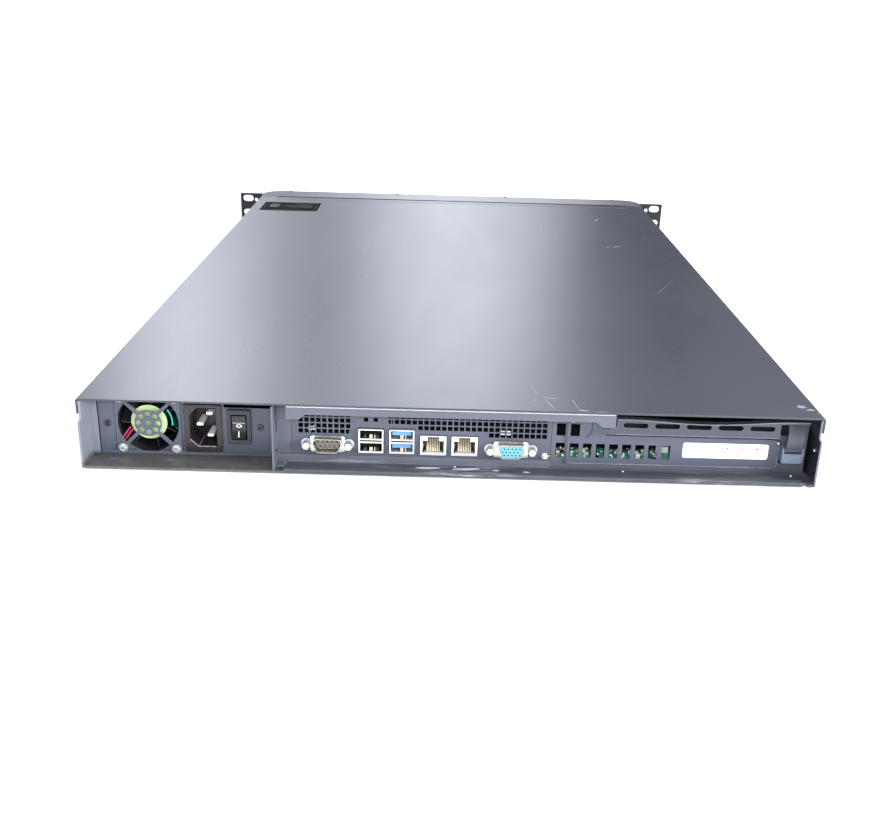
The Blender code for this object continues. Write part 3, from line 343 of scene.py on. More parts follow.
# Painted shade: rear_paint at half its brightness, for the retaining bar and its flange.
shaded_bar_paint = powder_coat("shaded_bar_paint", (0.036, 0.039, 0.050), (0.046, 0.050, 0.063), (0.36, 0.46))
plate_paint = powder_coat("plate_paint", (0.057, 0.064, 0.088), (0.070, 0.078, 0.106), (0.34, 0.44))
ear_paint = powder_coat("ear_paint", (0.012, 0.012, 0.013), (0.018, 0.018, 0.019), (0.5, 0.62))
chassis_paint = base_paint()
zinc = zinc_plate()
tin = metal("tin", (0.72, 0.73, 0.70), (0.86, 0.87, 0.84), (0.16, 0.30))
warm_tin = metal("warm_tin", (0.66, 0.65, 0.55), (0.84, 0.83, 0.74), (0.20, 0.34))
bright_zinc = metal("bright_zinc", (0.80, 0.81, 0.80), (0.92, 0.92, 0.90), (0.34, 0.46), 0.85)
pin_silver = metal("pin_silver", (0.80, 0.80, 0.78), (0.90, 0.90, 0.88), (0.3, 0.42), 0.1)
gold = metal("gold", (0.75, 0.50, 0.16), (0.90, 0.66, 0.28), (0.18, 0.30), 1.0, 300, 0.004)
pale_gold = metal("pale_gold", (0.62, 0.52, 0.36), (0.78, 0.68, 0.50), (0.28, 0.4), 0.25, 300, 0.004)
brass = metal("brass", (0.55, 0.47, 0.28), (0.70, 0.62, 0.42), (0.28, 0.4), 0.9, 300, 0.004)
dark_steel = metal("dark_steel", (0.10, 0.10, 0.11), (0.17, 0.17, 0.18), (0.3, 0.45), 0.9, 150, 0.01)
along_x = (0.3, 1, 1)
# Painted highlight: a lighter finish for lines that stand for light on edges.
painted_edge_highlight = worn("painted_edge_highlight", (0.13, 0.14, 0.17), (0.26, 0.28, 0.32), (0.25, 0.4), 120, 0.3, stretch=along_x)
# Painted highlight: a near-white finish for glints and bright edge lines.
painted_highlight = worn("painted_highlight", (0.40, 0.43, 0.50), (0.60, 0.63, 0.70), (0.25, 0.4), 90, stretch=along_x)
# A lighter paint for real smudges on the cover, and for painted reflections on the floor.
smudge_and_reflection_paint = worn("smudge_and_reflection_paint", (0.10, 0.108, 0.125), (0.26, 0.275, 0.31), (0.4, 0.6), 260)
scratch_metal = worn("scratch_metal", (0.16, 0.168, 0.19), (0.30, 0.31, 0.35), (0.4, 0.6), 400, depth=0.005)
aluminium = brushed("aluminium", (0.58, 0.59, 0.60), (0.74, 0.75, 0.76), (0.28, 0.42))
board_green = circuit_board("board_green")
black_plastic = plastic("black_plastic", (0.012, 0.012, 0.013), (0.02, 0.02, 0.022), (0.42, 0.55), 1600, 0.02,
                        Specular_IOR_Level=0.3)
matte_black = plastic("matte_black", (0.004, 0.004, 0.005), (0.009, 0.009, 0.01), (0.6, 0.8), 1600, 0.02,
                      Specular_IOR_Level=0.0)
gloss_black = plastic("gloss_black", (0.010, 0.010, 0.012), (0.018, 0.018, 0.02), (0.16, 0.28), 900, 0.006)
inlet_plastic = plastic("inlet_plastic", (0.016, 0.012, 0.014), (0.024, 0.018, 0.02), (0.22, 0.34),
                        depth=0.012)
latch_plastic = plastic("latch_plastic", (0.042, 0.046, 0.060), (0.058, 0.063, 0.082), (0.4, 0.52),
                        1500, 0.02)
white_plastic = plastic("white_plastic", (0.70, 0.70, 0.66), (0.80, 0.80, 0.76), (0.35, 0.5))
cream_plastic = plastic("cream_plastic", (0.60, 0.58, 0.52), (0.70, 0.68, 0.62), (0.4, 0.5))
blue_plastic = plastic("blue_plastic", (0.07, 0.20, 0.40), (0.11, 0.26, 0.47), (0.25, 0.4))
sky_plastic = plastic("sky_plastic", (0.09, 0.30, 0.38), (0.13, 0.37, 0.46), (0.3, 0.42))
socket_grey = plastic("socket_grey", (0.16, 0.15, 0.145), (0.22, 0.205, 0.195), (0.4, 0.5))
socket_brown = plastic("socket_brown", (0.055, 0.046, 0.038), (0.085, 0.07, 0.056), (0.35, 0.5))
chip_black = plain("chip_black", (0.014, 0.014, 0.015), (0.024, 0.024, 0.026), (0.42, 0.6), 200, 1500, 0.012)
paper_white = plain("paper_white", (0.86, 0.86, 0.85), (0.93, 0.93, 0.92), (0.45, 0.6), 80, 1400, 0.01)
print_grey = plain("print_grey", (0.07, 0.07, 0.07), (0.11, 0.11, 0.11), (0.7, 0.8), 200, 1400, 0.005,
                   Specular_IOR_Level=0.0)
label_black = plain("label_black", (0.014, 0.014, 0.013), (0.022, 0.022, 0.02), (0.7, 0.85), 40, 900, 0.01,
                    Specular_IOR_Level=0.0)
fan_yellow = plain("fan_yellow", (0.34, 0.46, 0.22), (0.42, 0.54, 0.29), (0.3, 0.42), 120, 1000, 0.008)
sleeve_purple = cable("sleeve_purple", (0.03, 0.02, 0.06), (0.05, 0.035, 0.09), (0.25, 0.35))
red_cable = cable("red_cable", (0.45, 0.02, 0.07), (0.62, 0.04, 0.12), (0.3, 0.42))
yellow_cable = cable("yellow_cable", (0.62, 0.45, 0.03), (0.72, 0.55, 0.06), (0.32, 0.45))
orange_cable = cable("orange_cable", (0.62, 0.20, 0.02), (0.72, 0.27, 0.04), (0.32, 0.45))
black_cable = cable("black_cable", (0.012, 0.012, 0.012), (0.022, 0.022, 0.022), (0.35, 0.5))
teal_cable = cable("teal_cable", (0.03, 0.38, 0.32), (0.05, 0.50, 0.42), (0.25, 0.35))
lens = clear_lens()


# Mesh tools


def lifted(a, b, along, axis):
    """A point given by its two coordinates across an axis, in X, Y, Z order, and its place along it."""
    if axis == "X":
        return (along, a, b)
    if axis == "Y":
        return (a, along, b)
    return (a, b, along)


def arc(a, b, radius, start, end, steps):
    points = []
    for step in range(steps + 1):
        angle = math.radians(start + (end - start) * step / steps)
        points.append((a + radius * math.cos(angle), b + radius * math.sin(angle)))
    return points


def circle(a, b, radius, sides=24):
    return arc(a, b, radius, 0, 360, sides)[:-1]


def rectangle(low_a, high_a, low_b, high_b):
    return [(low_a, low_b), (high_a, low_b), (high_a, high_b), (low_a, high_b)]


def rounded(low_a, high_a, low_b, high_b, radius, steps=5):
    points = arc(high_a - radius, low_b + radius, radius, -90, 0, steps)
    points += arc(high_a - radius, high_b - radius, radius, 0, 90, steps)
    points += arc(low_a + radius, high_b - radius, radius, 90, 180, steps)
    return points + arc(low_a + radius, low_b + radius, radius, 180, 270, steps)


def smooth_route(points, steps=6):
    """A Catmull-Rom curve through the points."""
    route = []
    last = len(points) - 1
    for index in range(last):
        before = Vector(points[max(index - 1, 0)])
        start = Vector(points[index])
        end = Vector(points[index + 1])
        after = Vector(points[min(index + 2, last)])
        for step in range(steps):
            t = step / steps
            bend = (end - before) * t + (2 * before - 5 * start + 4 * end - after) * t * t
            route.append(start + (bend + (3 * start - before - 3 * end + after) * t ** 3) / 2)
    return route + [Vector(points[-1])]


class Shape:
    """Closed shells in millimetres, gathered into one mesh. paint picks the material of those that follow."""

    def __init__(self):
        self.mesh = bmesh.new()
        self.slot = 0
        self.turn = Matrix.Identity(4)

    def paint(self, slot):
        self.slot = slot
        return self

    def vertex(self, place):
        return self.mesh.verts.new(self.turn @ Vector(place))

    def face(self, corners):
        made = self.mesh.faces.new(corners)
        made.material_index = self.slot
        return made

    def skin(self, rings, closed=False):
        """Joins rings of equal length, with a cap at each end unless they close on themselves."""
        count = len(rings)
        for index in range(count if closed else count - 1):
            lower, upper = rings[index], rings[(index + 1) % count]
            for side in range(len(lower)):
                after = (side + 1) % len(lower)
                self.face((lower[side], lower[after], upper[after], upper[side]))
        if not closed:
            self.face(rings[0][::-1])
            self.face(rings[-1])
        return self

    def ring(self, outline, along, axis):
        return [self.vertex(lifted(a, b, along, axis)) for a, b in outline]

    def prism(self, outline, start, end, axis="Y"):
        return self.skin([self.ring(outline, along, axis) for along in (start, end)])

    def box(self, low, high):
        return self.prism(rectangle(low[0], high[0], low[1], high[1]), low[2], high[2], "Z")

    def frame(self, outer, inner, start, end, axis="Y"):
        """A flat ring between two outlines of equal length."""
        order = ((outer, start), (outer, end), (inner, end), (inner, start))
        return self.skin([self.ring(outline, along, axis) for outline, along in order], closed=True)

    def lathe(self, profile, centre, axis="Y", sides=24):
        """Turns a profile of (radius, along). An end on the axis is a point, and any other is capped."""
        rings = []
        for radius, along in profile:
            if radius > 0:
                rings.append(self.ring(circle(*centre, radius, sides), along, axis))
        for lower, upper in zip(rings, rings[1:]):
            for side in range(sides):
                after = (side + 1) % sides
                self.face((lower[side], lower[after], upper[after], upper[side]))
        for ring, (radius, along) in ((rings[0], profile[0]), (rings[-1], profile[-1])):
            if radius > 0:
                self.face(ring)
                continue
            tip = self.vertex(lifted(*centre, along, axis))
            for side in range(sides):
                self.face((ring[side], ring[(side + 1) % sides], tip))
        return self

    def tube(self, route, radius, sides=10):
        """A round bar along a route of points."""
        rings = []
        normal = None
        last = len(route) - 1
        for index, place in enumerate(route):
            heading = (route[min(index + 1, last)] - route[max(index - 1, 0)]).normalized()
            if normal is None:
                normal = heading.orthogonal().normalized()
            normal = (normal - heading * normal.dot(heading)).normalized()
            across = heading.cross(normal)
            ring = []
            for a, b in circle(0, 0, radius, sides):
                ring.append(self.vertex(place + normal * a + across * b))
            rings.append(ring)
        return self.skin(rings)


def round_edges(item, width, segments=2, angle=35):
    """Rounds sharp edges, in millimetres, and shades the rest smooth."""
    item.data.shade_smooth()
    if not width:
        item.data.set_sharp_from_angle(angle=math.radians(angle))
        return
    bevel = item.modifiers.new("bevel", "BEVEL")
    bevel.width = width * MM
    bevel.segments = segments
    bevel.limit_method = "ANGLE"
    bevel.angle_limit = math.radians(angle)
    bevel.harden_normals = True
    bevel.use_clamp_overlap = True


def piece(name, shape, materials, body="chassis", bevel=0.0, angle=35, replaces=()):
    """Makes an object of a shape, rounded, riding on its body."""
    bmesh.ops.recalc_face_normals(shape.mesh, faces=shape.mesh.faces)
    mesh = bpy.data.meshes.new(name)
    shape.mesh.to_mesh(mesh)
    shape.mesh.free()
    mesh.transform(Matrix.Scale(MM, 4))
    item = bpy.data.objects.new(name, mesh)
    bpy.context.scene.collection.objects.link(item)
    for material in materials if isinstance(materials, (list, tuple)) else [materials]:
        mesh.materials.append(material)
    round_edges(item, bevel, angle=angle)
    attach(item, body)
    if replaces:
        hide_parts(*replaces)
    return item


def refined(node, material, width=0.15, name=None):
    """A CAD node's own shape with its edges rounded, in place of the node."""
    mesh = nodes[node].data.copy()
    mesh.name = node + "_surface"
    if mesh.has_custom_normals:
        mesh.attributes.remove(mesh.attributes["custom_normal"])
    shape = bmesh.new()
    shape.from_mesh(mesh)
    bmesh.ops.remove_doubles(shape, verts=shape.verts, dist=0.002 * MM)
    bmesh.ops.dissolve_limit(shape, angle_limit=math.radians(1), verts=shape.verts, edges=shape.edges)
    shape.to_mesh(mesh)
    shape.free()
    mesh.materials.clear()
    mesh.materials.append(material)
    for polygon in mesh.polygons:
        polygon.material_index = 0
    item = bpy.data.objects.new(name or node + "_surface", mesh)
    bpy.context.scene.collection.objects.link(item)
    round_edges(item, width)
    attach(item, body_of[node])
    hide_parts(node)
    return item


def refine_all(rows):
    """Each row is a node, its material, its edge width and the new name."""
    for node, material, width, name in rows:
        refined(node, material, width, name=name)


def repaint(node, material):
    nodes[node].data.materials.clear()
    nodes[node].data.materials.append(material)


def disc(radius, start, end):
    """The profile of a plain disc, to be turned."""
    return [(0, start), (radius, start), (radius, end), (0, end)]


# Casing


def dress_casing():
    refine_all((
        ("top_cover", case_paint, 0.25, "cover_shell"),
        ("front_bezel", case_paint, 0.4, "bezel_shell"),
        ("chassis_base", chassis_paint, 0.2, "chassis_shell"),
        ("ear_left", ear_paint, 0.4, "ear_left_plate"),
        ("ear_right", ear_paint, 0.4, "ear_right_plate"),
        ("front_panel", rear_paint, 0.2, "front_panel_sheet"),
    ))


def cross_recess(shape, place, reach, start, end, axis="Y"):
    """A cross of two bars. reach is a bar's half length and half width."""
    a, b = place
    for reach_a, reach_b in (reach, reach[::-1]):
        shape.prism(rectangle(a - reach_a, a + reach_a, b - reach_b, b + reach_b), start, end, axis)


def screw_head(shape, place, axis, radius, height, outward=1, metal=0, recess=1):
    """A pan-head screw with a cross recess. metal and recess are material slots."""
    a, b, along = place
    top = along + outward * height
    profile = [(0, along), (radius, along), (radius, along + outward * height * 0.35)]
    profile += [(radius * 0.82, along + outward * height * 0.8), (radius * 0.5, top), (0, top)]
    shape.paint(metal).lathe(profile, (a, b), axis, 20)
    reach = (radius * 0.52, radius * 0.13)
    cross_recess(shape.paint(recess), (a, b), reach, top - outward * 0.15, top + outward * 0.03, axis)


def add_screws(name, places, axis, radius, height, materials, body="chassis"):
    """Screws at places, each with the way it faces."""
    screws = Shape()
    for place, outward in places:
        screw_head(screws, place, axis, radius, height, outward)
    piece(name, screws, materials, body)


EAR_FACE = 217.3
SIDE_WALL = 212.1


def add_case_screws():
    steel = [dark_steel, label_black]
    low, high = extent("top_cover")
    rows = (low.y + 40, low.y + 230, high.y - 190, high.y - 30)
    places = [((y, 38.6, side * high.x), side) for side in (-1, 1) for y in rows]
    add_screws("cover_screws", places, "X", 2.6, 0.7, steel, "cover")
    places = []
    for side, node in ((1, "ear_left"), (-1, "ear_right")):
        near = extent(node)[0].y
        places += [((near + y, z, side * EAR_FACE), side) for y in (22, 50) for z in (11.0, 25.0)]
    add_screws("ear_screws", places, "X", 2.8, 0.9, steel)
    low, high = extent("front_bezel")
    places = [((x, low.y + 4.6, high.z), 1) for x in (63.0, -62.0, -186.0, 186.0)]
    add_screws("bezel_screws", places, "Z", 1.9, 0.35, [label_black] * 2)
    bottom = extent("chassis_base")[0].z
    places = []
    for across, along in (((84.0, -54.0, -192.0), (307.7, 152.7, -2.3)),
                          ((112.0, 198.0, 0.0, 85.0), (-262.0, -156.0)),
                          ((112.0, 201.0), (150.0, 300.0))):
        places += [((x, y, bottom), -1) for x in across for y in along]
    add_screws("base_screws", places, "Z", 2.9, 0.45, [zinc, label_black])


def rivet(shape, place, axis, radius=1.5, height=0.5, outward=1):
    a, b, along = place
    profile = [(0, along - outward * 0.1), (radius, along - outward * 0.1)]
    profile.append((radius * 0.93, along + outward * height * 0.4))
    profile += [(radius * 0.6, along + outward * height * 0.85), (0, along + outward * height)]
    shape.lathe(profile, (a, b), axis, 16)


def bar_crest():
    """The top edge of the retaining bar, read from its CAD mesh: the highest point in each step along X."""
    points = {}
    for vertex in nodes["slot_bar"].data.vertices:
        x, z = vertex.co.x / MM, vertex.co.z / MM
        key = round(x / 4)
        if key not in points or z > points[key][1]:
            points[key] = (x, z)
    crest = [points[key] for key in sorted(points, reverse=True)]
    return [(x, z - 0.2) for x, z in crest if x < -96.5 and z > 34.5]


def add_rivets():
    rivets = Shape()
    lip = extent("chassis_base")[1].y - 12
    for x in (97.9, -3.3, -103.6, -204.0):
        rivet(rivets, (x, lip, 1.2), "Z", 1.2, 0.9)
    rivet(rivets, (327.0, 20.3, -213.7), "X", 1.3, 0.8)
    for y in (-250.0, -170.0, -90.0, -10.0, 70.0, 150.0):
        for side in (-1, 1):
            rivet(rivets, (y, 33.5, side * SIDE_WALL), "X", 1.6, 0.5, -side)
    piece("chassis_rivets", rivets, tin)
    face = extent("slot_cover")[1].y
    rivets = Shape()
    rivet(rivets, (-195.0, 21.0, face), "Y", 1.1, 0.5)
    rivets.paint(1).prism([(-83.4, 21.2), (-81.2, 21.2), (-81.9, 23.4), (-82.7, 23.4)], face, face + 0.8)
    rivet(rivets.paint(0), (-72.3, 31.4, 319.4), "Y", 0.9, 0.9)
    piece("slot_cover_rivets", rivets, [tin, plate_paint], bevel=0.15)
    # Painted highlight: a lighter line along the slot cover's lower edge, round its corner and up its side.
    rim = Shape()
    bend = [(-192.4 - 3 * math.sin(t), 7.7 - 3 * math.cos(t)) for t in (0.4, 0.8, 1.2, 1.57)]
    route = [(-70.2, 4.7), (-120.0, 4.7), (-192.4, 4.7)] + bend + [(-195.4, 14.0), (-195.4, 19.0)]
    rim.tube([Vector((x, face + 0.05, z)) for x, z in route], 0.32)
    piece("slot_cover_edge_highlight", rim, painted_edge_highlight)
    # Painted highlight: a bright line along the top rail's upper edge.
    low, high = extent("rear_top_rail")
    hem = Shape()
    hem.tube([Vector((x, high.y + 0.25, high.z - 0.55)) for x in (low.x + 0.4, high.x - 0.4)], 0.45)
    piece("top_rail_highlight", hem, painted_highlight)
    # Painted highlights: lighter lines along the retaining bar's lower part and along its crest.
    face = extent("slot_bar")[1].y
    hem = Shape()
    hem.tube([Vector((x, face - 0.15, 27.0)) for x in (-97.2, -191.0)], 0.2)
    crest = bar_crest()
    hem.tube([Vector((x, face - 0.1, z)) for x, z in crest], 0.32)
    piece("slot_bar_highlight", hem, painted_edge_highlight)
    flange = Shape()
    section = ((326.6, 0.1), (322.6, 0.3), (322.6, -0.3), (326.6, -0.5))
    flange.skin([[flange.vertex((x, y, z + rise)) for y, rise in section] for x, z in crest])
    piece("slot_bar_flange", flange, shaded_bar_paint)


def add_cover_marks():
    """A dark label near the front, a faint fold line, and handling scratches, all on the cover."""
    low, high = extent("top_cover")
    front, top = low.y, high.z
    label = Shape()
    label.prism(rounded(143, 204, front + 32.4, front + 77.4, 2.0), top - 0.05, top + 0.12, "Z")
    label.paint(1)
    border = rounded(146, 201, front + 35.4, front + 74.4, 1.2)
    inset = rounded(146.5, 200.5, front + 35.9, front + 73.9, 1.0)
    label.frame(border, inset, top + 0.1, top + 0.15, "Z")
    for index, (start, end) in enumerate(((150, 168), (150, 181), (150, 176))):
        y = front + 43 + index * 6.5
        label.prism(rounded(start, end, y, y + 1.8, 0.5), top + 0.1, top + 0.15, "Z")
    label.prism(rounded(186, 196.5, front + 42, front + 60, 1.5), top + 0.1, top + 0.15, "Z")
    piece("cover_label", label, [label_black, print_grey], "cover")
    fold = Shape()
    fold.prism(rounded(-196, 196, front + 11.6, front + 12.6, 0.45), top - 0.1, top + 0.16, "Z")
    piece("cover_fold_line", fold, case_paint, "cover", 0.08)


def make_ribbon(shape, points, width, top):
    """A hair-thin raised ribbon that narrows to both ends."""
    route = smooth_route([(x, y, 0) for x, y in points], 8)
    last = len(route) - 1
    lower, upper = [], []
    for index, place in enumerate(route):
        heading = (route[min(index + 1, last)] - route[max(index - 1, 0)]).normalized()
        reach = Vector((-heading.y, heading.x, 0)) * width / 2 * (0.15 + math.sin(math.pi * index / last))
        lower.append((place.x + reach.x, place.y + reach.y))
        upper.append((place.x - reach.x, place.y - reach.y))
    shape.prism(lower + upper[::-1], top - 0.02, top + 0.03, "Z")


# Power supply


def rocker_point(across, up, out):
    """A point in the rocker's own directions, turned by its tilt about its pivot."""
    pivot_y, pivot_z, tilt = 315.4, 21.15, math.radians(7)
    y = pivot_y + out * math.cos(tilt) - up * math.sin(tilt)
    return Vector((125.3 + across, y, pivot_z + out * math.sin(tilt) + up * math.cos(tilt)))


def add_switch():
    refined("switch_frame", gloss_black, 0.35, name="switch_bezel")
    refined("switch_rocker", gloss_black, 0.35, name="rocker_key")
    marks = Shape()

    def on_face(outline, thickness=0.12):
        """Lays an outline of (across, up) on the rocker's two sloping halves."""
        slope = 1.8 / 7.2
        rings = []
        for lift in (-0.05, thickness):
            rings.append([marks.vertex(rocker_point(a, b, 2.6 + abs(b) * slope + lift)) for a, b in outline])
        return rings

    ring_up, ring_wide, ring_high = 0.65, 1.75, 1.1

    def oval(wide, high):
        return on_face([(-wide * math.cos(t), ring_up + high * math.sin(t)) for t in spaced_angles(20)])

    low_outer, high_outer = oval(ring_wide, ring_high)
    low_inner, high_inner = oval(0.66 * ring_wide, 0.55 * ring_high)
    marks.skin([low_outer, high_outer, high_inner, low_inner], closed=True)
    marks.skin(on_face(rectangle(-0.33, 0.33, -5.9, -2.6)))
    # Painted highlight: a thin white line across the rocker above the ring.
    marks.skin(on_face(rectangle(-3.6, 3.8, 2.35, 2.55), 0.1))
    piece("rocker_marks_and_highlight", marks, paper_white, "rocker")


def spaced_angles(count):
    return [2 * math.pi * index / count for index in range(count)]


def fan_blades(shape, centre, hub, tip, rear, front, chord, first, count=7):
    """Curved blades: each is a sheet that turns about the axis from its rear edge to its front edge."""
    across, along, thick = 6, 6, 0.7
    for blade in range(count):
        start = first + 2 * math.pi * blade / count
        sides = []
        for offset in (0, thick):
            grid = []
            for step in range(across + 1):
                radius = hub - 0.4 + (tip - hub + 0.4) * step / across
                sweep = 0.10 * step / across
                row = []
                for part in range(along + 1):
                    t = part / along
                    angle = start + chord * t ** 0.85 + math.copysign(sweep, chord) + offset / radius
                    y = rear + (front - rear) * t
                    x, z = centre[0] + radius * math.cos(angle), centre[1] + radius * math.sin(angle)
                    row.append(shape.vertex((x, y, z)))
                grid.append(row)
            sides.append(grid)
        close_sheet(shape, *sides)


def close_sheet(shape, first, second):
    """Faces for two matching grids of vertices, and the rim between them."""
    for grid in (first, second):
        for row, upper in zip(grid, grid[1:]):
            for index in range(len(row) - 1):
                shape.face((row[index], row[index + 1], upper[index + 1], upper[index]))

    def rim(grid):
        return grid[0] + [row[-1] for row in grid[1:-1]] + grid[-1][::-1] + [row[0] for row in grid[-2:0:-1]]

    lower, upper = rim(first), rim(second)
    for index in range(len(lower)):
        after = (index + 1) % len(lower)
        shape.face((lower[index], lower[after], upper[after], upper[index]))


def make_rotor(name, node, label_finish, lean, label_inset=1.9, chord=0.78, first=0.0):
    low, high = extent(node)
    centre = ((low.x + high.x) / 2, (low.z + high.z) / 2)
    tip = (high.x - low.x) / 2 - 0.1
    hub = tip * 0.61
    rear, front = high.y, low.y
    rotor = Shape()
    profile = [(0, front + 1), (hub - 0.8, front + 1), (hub, front + 1.6), (hub, rear - 1.2)]
    profile += [(hub - 0.35, rear - 0.5), (hub - 1.1, rear - 0.1), (hub - 1.6, rear - 0.35), (0, rear - 0.35)]
    rotor.lathe(profile, centre, "Y", 40)
    fan_blades(rotor, centre, hub, tip, rear - 0.8, front + 0.6, chord * lean, first)
    body = body_of[node]
    piece(name, rotor, black_plastic, body, replaces=[node])
    label = Shape()
    edge = hub - label_inset
    label.lathe(disc(edge, rear - 0.4, rear + 0.12), centre, "Y", 48)
    piece(name + "_label", label, label_finish, body)


DIVIDER_FACE = 102.3


def add_psu_screws(face):
    screws = Shape()
    fan_screws = [f"psu_fan_screw_{index + 1}" for index in range(4)]
    for node in fan_screws:
        low, high = extent(node)
        x, z = (low.x + high.x) / 2, (low.z + high.z) / 2
        profile = [(0, low.y), (1.35, low.y), (1.35, face + 0.1), (3.1, face + 0.1), (3.1, face + 0.5)]
        profile += [(2.9, face + 1.1), (2.3, face + 1.7), (1.3, face + 2.1)]
        profile += [(0.9, face + 1.5), (0, face + 1.4)]
        screws.paint(0).lathe(profile, (x, z), "Y", 28)
        cross_recess(screws.paint(1), (x, z), (1.0, 0.16), face + 1.2, face + 1.58)
    piece("psu_fan_screws", screws, [bright_zinc, aluminium], replaces=fan_screws)
    screws = Shape()
    plate_screws = ["psu_plate_screw_1", "psu_plate_screw_2"]
    for node in plate_screws:
        low, high = extent(node)
        x, z = (low.x + high.x) / 2, (low.z + high.z) / 2
        profile = [(0, low.y), (1.1, low.y), (1.1, face + 0.1), (2.1, face + 0.1), (2.1, face + 0.5)]
        profile += [(1.7, face + 0.8), (1.1, face + 0.9), (0.7, face + 0.5), (0, face + 0.4)]
        screws.paint(0).lathe(profile, (x, z), "Y", 24)
        cross_recess(screws.paint(1), (x, z), (1.0, 0.2), face + 0.4, face + 0.75)
    piece("psu_plate_screws", screws, [dark_steel, label_black], replaces=plate_screws)


def add_power_supply():
    refine_all((
        ("psu_back_plate", plate_paint, 0.18, "psu_plate"),
        ("psu_case", zinc, 0.2, "psu_cage"),
        ("psu_divider", rear_paint, 0.2, "divider_wall"),
        ("psu_fan_frame", black_plastic, 0.2, "psu_fan_housing"),
        ("inlet_body", inlet_plastic, 0.3, "inlet_housing"),
        ("inlet_pin_earth", pin_silver, 0.3, "inlet_blade_earth"),
        ("inlet_pin_line", pin_silver, 0.3, "inlet_blade_line"),
        ("inlet_pin_neutral", pin_silver, 0.3, "inlet_blade_neutral"),
    ))
    # Painted highlights: bright lines along the inlet mouth's lower chamfer, its lower rim and its inner
    # corner.
    mouth = Shape()
    corner = Vector((150.0, 318.0, 8.3))
    for end in ((154.6, 318.0, 12.6), (139.4, 318.0, 8.3), (149.6, 301.0, 8.5)):
        mouth.tube([corner, (corner + Vector(end)) / 2, Vector(end)], 0.17, 6)
    piece("inlet_mouth_glints", mouth, painted_highlight)
    repaint("psu_board", board_green)
    make_rotor("psu_rotor", "psu_fan_rotor", fan_yellow, 1.0, -0.35, 0.36, -0.16)
    face = extent("psu_back_plate")[1].y
    field = Shape()
    outer = rounded(159.6, 199.4, 4.6, 40.9, 1.0)
    inner = rounded(159.85, 199.15, 4.85, 40.65, 0.7)
    field.frame(outer, inner, face - 0.05, face + 0.04)
    piece("psu_plate_field", field, matte_black)
    add_psu_screws(face)
    fan = middle("psu_fan_rotor")
    behind = face - 1.65
    leads = Shape()
    for slot, aside in ((0, -1.0), (1, 0.0), (0, 1.0)):
        start = Vector((fan.x + 10.3 + 0.8 * aside, behind, fan.z - 3.7 + 0.6 * aside))
        end = Vector((fan.x + 16.2 + 0.8 * aside, behind, fan.z - 11.6 + 0.6 * aside))
        leads.paint(slot).tube([start, (start + end) / 2, end], 0.42)
    piece("psu_fan_leads", leads, [red_cable, black_cable])
    lead = Shape()
    lead.tube([Vector((fan.x + a, behind, fan.z + b)) for a, b in arc(0, 0, 14.0, 144, 187, 16)], 0.42)
    piece("psu_fan_sense_lead", lead, teal_cable)
    # Painted highlights: bright arcs on the rim of the fan opening and bright lines along two of the guard's
    # spokes.
    wear = Shape()
    for start, end in ((-48, -74), (14, -18)):
        wear.tube([Vector((fan.x + a, face, fan.z + b)) for a, b in arc(0, 0, 18.3, start, end, 10)], 0.16, 6)
    for side in (-1, 1):
        steps = [side * radius * 0.707 for radius in (11.2, 14.6, 18.0)]
        wear.tube([Vector((fan.x + step - 0.8, face, fan.z + step + 0.8)) for step in steps], 0.13, 6)
    piece("psu_guard_glints", wear, painted_edge_highlight)
    foot = Shape()
    section = [(face - 0.1, 2.5), (face + 0.9, 2.5), (face + 1.3, 2.9), (face + 1.1, 3.6), (face - 0.1, 4.0)]
    foot.prism(section, 104.6, 208.0, "X")
    piece("psu_plate_foot", foot, plate_paint, bevel=0.3)
    roof = extent("psu_case")[1].z
    sticker = Shape()
    sticker.prism(rounded(118, 178, 190, 262, 2), roof - 0.02, roof + 0.1, "Z")
    sticker.paint(1)
    for index in range(7):
        y = 200 + index * 8
        sticker.prism(rectangle(124, 168 - 7 * (index % 3), y, y + 2), roof + 0.08, roof + 0.12, "Z")
    piece("psu_sticker", sticker, [paper_white, print_grey])
    slits = Shape()
    for low_z, high_z in ((21.6, 29.5), (8.0, 10.0)):
        slits.box((DIVIDER_FACE - 0.06, 321.6, low_z), (DIVIDER_FACE + 0.05, 324.4, high_z))
    rivet(slits, (329.5, 33.0, 103.5), "X", 1.0, 0.4)
    rivet(slits, (329.5, 12.0, DIVIDER_FACE), "X", 1.0, 0.4, -1)
    piece("divider_slits", slits, label_black)


# Rear sockets


